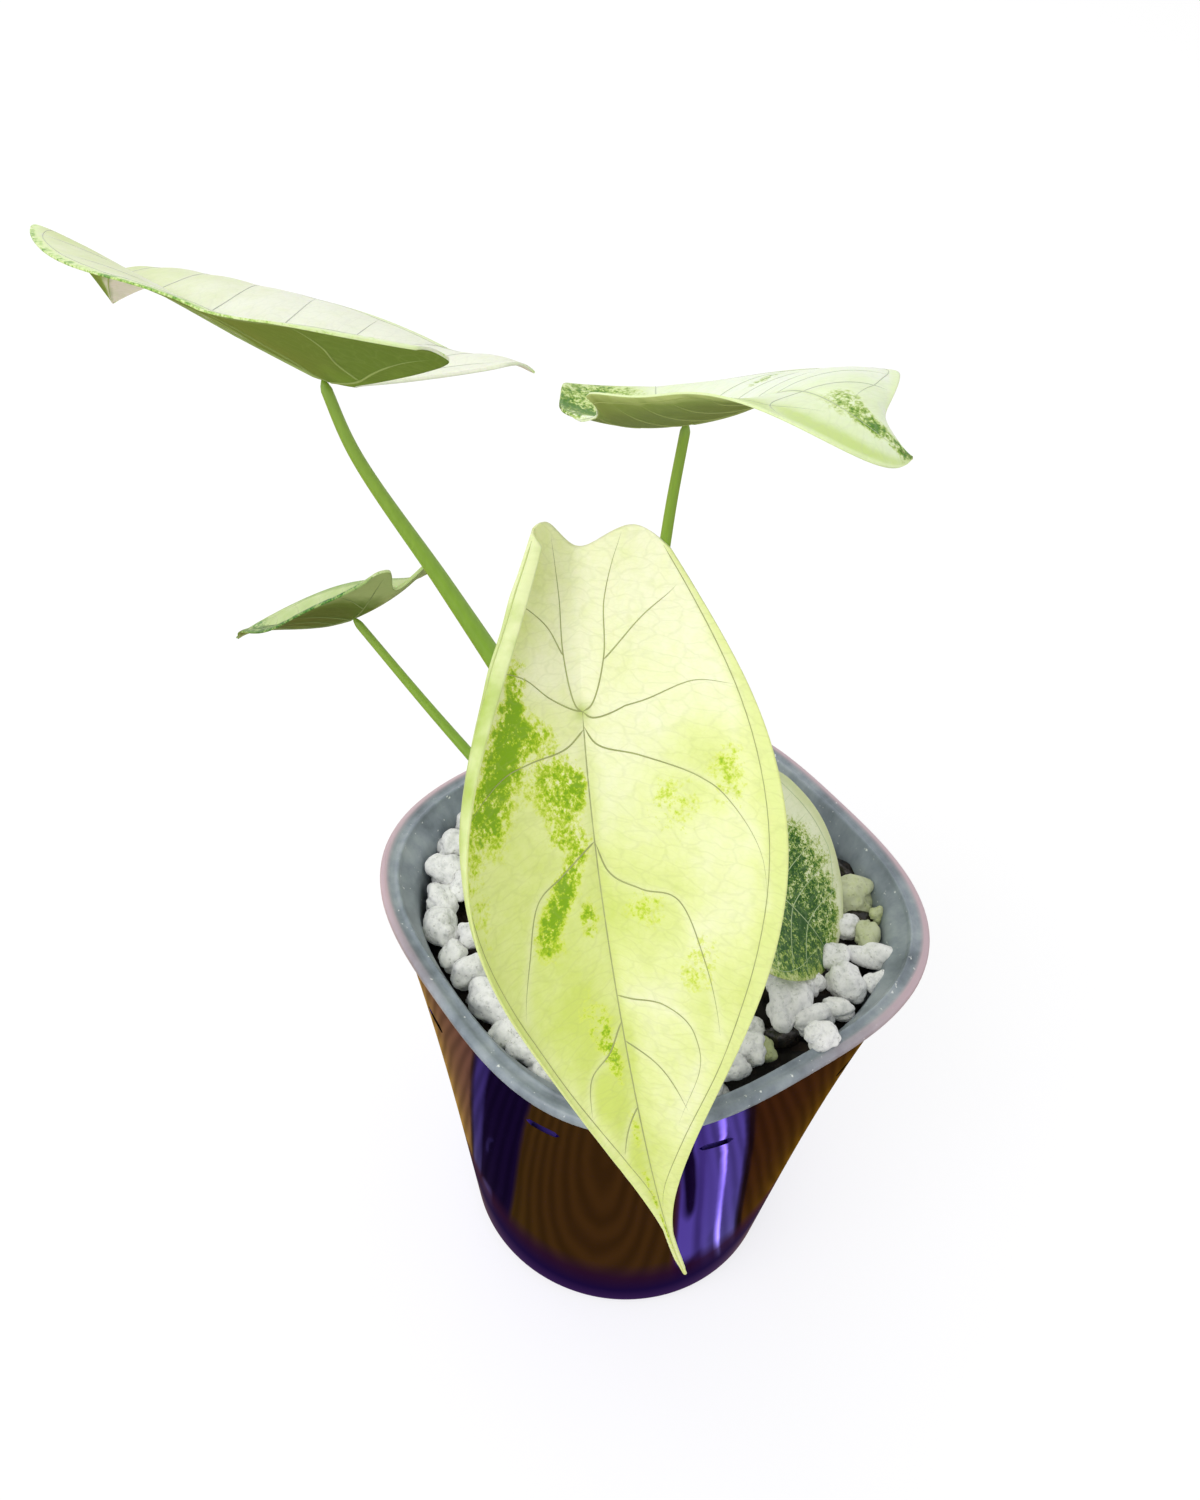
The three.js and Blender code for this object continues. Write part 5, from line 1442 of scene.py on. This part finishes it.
class ALOCASIA_OT_stage(bpy.types.Operator):
    """Sets the pale floor, the soft lights, the glowing cards that paint the mirror pot's reflections, and the camera
    """

    bl_idname = "alocasia.stage"
    bl_label = "Studio"

    CAMERA_PLACE = (115.92, -99.38, 258.74)
    CAMERA_TURN = (46.62, -3.07, 56.12)

    def execute(self, context):
        settings = context.scene.alocasia_studio
        context.scene.view_settings.view_transform = "Standard"
        self.camera(context, settings)
        self.lights(context, settings)
        floor = self.disc(context, "studio_floor", 0.0, 3000.0, 0.0, self.floor_paint())
        # Glowing cards seen by the mirror pot alone: their colours are painted reflections.
        cards = self.disc(context, "painted_reflection_cards", 27.6, 420.0, 0.4, self.painted_reflection_glow())
        for ray in ("camera", "diffuse", "transmission", "volume_scatter", "shadow"):
            setattr(cards, f"visible_{ray}", False)
        return {"FINISHED"}

    def camera(self, context, settings):
        lens = bpy.data.cameras.new("photo_view")
        lens.sensor_width = 36
        lens.lens = settings.focal_length
        lens.clip_start, lens.clip_end = 10 * MM, 20.0
        camera = bpy.data.objects.new("photo_view", lens)
        camera.location = [k * MM for k in self.CAMERA_PLACE]
        camera.rotation_euler = [math.radians(k) for k in self.CAMERA_TURN]
        context.scene.collection.objects.link(camera)
        context.scene.camera = camera

    def lights(self, context, settings):
        world = bpy.data.worlds.new("white_surround")
        world.use_nodes = True
        world.node_tree.nodes["Background"].inputs["Color"].default_value = (1, 1, 1, 1)
        world.node_tree.nodes["Background"].inputs["Strength"].default_value = settings.sky
        context.scene.world = world
        for name, place, size, power in (
            ("key", (0.15, -0.75, 0.95), 0.7, settings.key_power),
            ("fill", (-0.8, 0.1, 0.6), 0.9, settings.key_power * 0.35),
        ):
            lamp = bpy.data.lights.new(name, "AREA")
            lamp.size = size
            lamp.energy = power
            light = bpy.data.objects.new(name, lamp)
            light.location = place
            aim = -np.array(place) + np.array([0, 0, 0.1])
            flat = math.hypot(aim[0], aim[1])
            light.rotation_euler = (math.atan2(flat, -aim[2]), 0, math.atan2(-aim[0], aim[1]))
            context.scene.collection.objects.link(light)

    def disc(self, context, name, inner, outer, height, material):
        """A flat ring of 96 steps between two radii."""
        turn = np.linspace(0, 2 * np.pi, 96, endpoint=False)
        radius = np.array([max(inner, 0.01), outer])[:, None]
        ring = np.stack([radius * np.cos(turn), radius * np.sin(turn), np.full((2, 96), height)], -1)
        mesh = bpy.data.meshes.new(name)
        faces = grid_faces(2, 96, wrap=True, flip=True).tolist()
        mesh.from_pydata((ring.reshape(-1, 3) * MM).tolist(), [], faces)
        mesh.materials.append(material)
        made = bpy.data.objects.new(name, mesh)
        context.scene.collection.objects.link(made)
        return made

    def floor_paint(self):
        """Plain matt white paint that gives off a little light of its own, like a lit light table."""
        material, _, shader = new_material("matt_white_floor")
        shader.inputs["Base Color"].default_value = (0.3, 0.3, 0.3, 1)
        shader.inputs["Emission Color"].default_value = (1, 1, 1, 1)
        shader.inputs["Emission Strength"].default_value = 0.7
        shader.inputs["Roughness"].default_value = 1.0
        shader.inputs["Specular IOR Level"].default_value = 0.0
        return material

    def painted_reflection_glow(self):
        """Glowing cards laid round the pot as wedges and seen by its mirror alone, whose colours paint its reflections:
        a wooden table, the dark room, pale zones, a maroon border, a strip of painted glare and pale glint streaks,
        and a dark ring of painted shade at the pot's foot. The wood's growth rings are 4.5 mm apart."""
        material, tree, shader = new_material("painted_reflection_cards")
        tree.nodes.remove(shader)
        place = add_node(tree, "TexCoord").outputs["Object"]
        axes = add_node(tree, "SeparateXYZ", {"Vector": place})
        turn = add_node(tree, "Math", {0: axes.outputs["Y"], 1: axes.outputs["X"]}, operation="ARCTAN2")
        share = add_node(tree, "Math", {0: turn.outputs["Value"], 1: 1 / (2 * math.pi), 2: 0.5}, operation="MULTIPLY_ADD")
        # Wedge colours are painted reflections: wood of a table, the dark room, pale zones, a maroon border, and glare
        # as a painted highlight.
        wood, pine, oak = (0.22, 0.165, 0.006, 0), (0.5, 0.3, 0.05, 0), (0.19, 0.095, 0.005, 0)
        dark, night = (0.05, 0.03, 0.008, 0), (0.03, 0.018, 0.026, 1)
        dusk, paper, wine, glare = (0.16, 0.14, 0.17, 0.3), (0.34, 0.37, 0.34, 0.6), (0.2, 0.07, 0.03, 0), (3.5, 3.9, 3.2, 0)
        wedges = (
            (-180, pine), (-122, dark), (-120, dusk), (-113, night), (-89, wood), (-12, wine), (-10, night), (-2, dusk),
            (2, paper), (9.5, glare), (10.8, paper), (20, dark), (24, oak), (140, night), (160, pine),
        )
        stops = []
        for angle, colour in wedges:
            at = (angle + 180) / 360
            if stops:
                stops.append((at - 0.004, stops[-1][1]))
            stops.append((at, colour))
        fan = add_node(tree, "ValToRGB", {"Fac": share.outputs["Value"]}, stops=stops)
        off = add_node(tree, "Mapping", {"Vector": place, "Location": (-0.037, 0.041, 0)}).outputs["Vector"]
        rings = add_node(tree, "TexWave", {"Vector": off, "Scale": 70.0, "Distortion": 3.0, "Detail": 2.0,
                                           "Detail Scale": 1.0}, wave_type="RINGS", rings_direction="Z")
        grain = add_node(tree, "MapRange", {"Value": rings.outputs["Fac"], "To Min": 0.75, "To Max": 1.12})
        grained = add_node(tree, "Mix", {0: 1.0, 6: fan.outputs["Color"], 7: grain.outputs["Result"]},
                           data_type="RGBA", blend_type="MULTIPLY")
        # Pale streaks of painted glints, where the wedge's alpha lets them show.
        glint_noise = add_node(tree, "TexNoise", {"Vector": place, "Scale": per_metre(26), "Detail": 1.0, "Distortion": 1.2})
        streak = add_node(tree, "MapRange", {"Value": glint_noise.outputs["Fac"], "From Min": 0.54, "From Max": 0.62})
        some = add_node(tree, "Math", {0: streak.outputs["Result"], 1: fan.outputs["Alpha"]}, operation="MULTIPLY")
        lit = add_node(tree, "Mix", {0: some.outputs["Value"], 6: grained.outputs[2], 7: (0.4, 0.42, 0.42, 1)},
                       data_type="RGBA")
        # A dark ring of painted shade, reflected at the pot's foot.
        far = add_node(tree, "VectorMath", {0: place}, operation="LENGTH")
        near = add_node(tree, "MapRange", {"Value": far.outputs["Value"], "From Min": 0.028, "From Max": 0.04})
        foot = add_node(tree, "ValToRGB", {"Fac": near.outputs["Result"]}, stops=[
            (0.0, (0.25, 0.16, 0.12, 1.0)), (0.22, (0.05, 0.03, 0.05, 1.0)), (0.4, (0.1, 0.035, 0.03, 0.9)),
            (0.6, (0.1, 0.035, 0.03, 0.0)),
        ])
        shown = add_node(tree, "Mix", {0: foot.outputs["Alpha"], 6: lit.outputs[2], 7: foot.outputs["Color"]},
                         data_type="RGBA")
        light = add_node(tree, "Emission", {"Color": shown.outputs[2], "Strength": 1.0})
        tree.links.new(light.outputs["Emission"], tree.nodes["Material Output"].inputs["Surface"])
        return material


OPERATORS = (
    ALOCASIA_OT_stage, ALOCASIA_OT_cover_pot, ALOCASIA_OT_nursery_pot, ALOCASIA_OT_potting_mix,
    ALOCASIA_OT_top_dressing, ALOCASIA_OT_stalks, ALOCASIA_OT_blades, ALOCASIA_OT_veins,
)


class ALOCASIA_PT_panel(bpy.types.Panel):
    bl_idname = "ALOCASIA_PT_panel"
    bl_label = "Potted Alocasia"
    bl_space_type = "VIEW_3D"
    bl_region_type = "UI"
    bl_category = "Alocasia"

    def draw(self, context):
        scene = context.scene
        for group in (scene.alocasia_pots, scene.alocasia_dressing, scene.alocasia_foliage, scene.alocasia_studio):
            for name in group.__annotations__:
                self.layout.prop(group, name)
        for operator in OPERATORS:
            self.layout.operator(operator.bl_idname)


CLASSES = (*SETTINGS, *OPERATORS, ALOCASIA_PT_panel)


def register():
    for item in CLASSES:
        bpy.utils.register_class(item)
    bpy.types.Scene.alocasia_pots = bpy.props.PointerProperty(type=PotSettings)
    bpy.types.Scene.alocasia_dressing = bpy.props.PointerProperty(type=DressingSettings)
    bpy.types.Scene.alocasia_foliage = bpy.props.PointerProperty(type=FoliageSettings)
    bpy.types.Scene.alocasia_studio = bpy.props.PointerProperty(type=StudioSettings)


def unregister():
    for name in ("alocasia_studio", "alocasia_foliage", "alocasia_dressing", "alocasia_pots"):
        delattr(bpy.types.Scene, name)
    for item in reversed(CLASSES):
        bpy.utils.unregister_class(item)


def main():
    register()
    for operator in OPERATORS:
        group, action = operator.bl_idname.split(".")
        getattr(getattr(bpy.ops, group), action)()


if __name__ == "__main__":
    main()
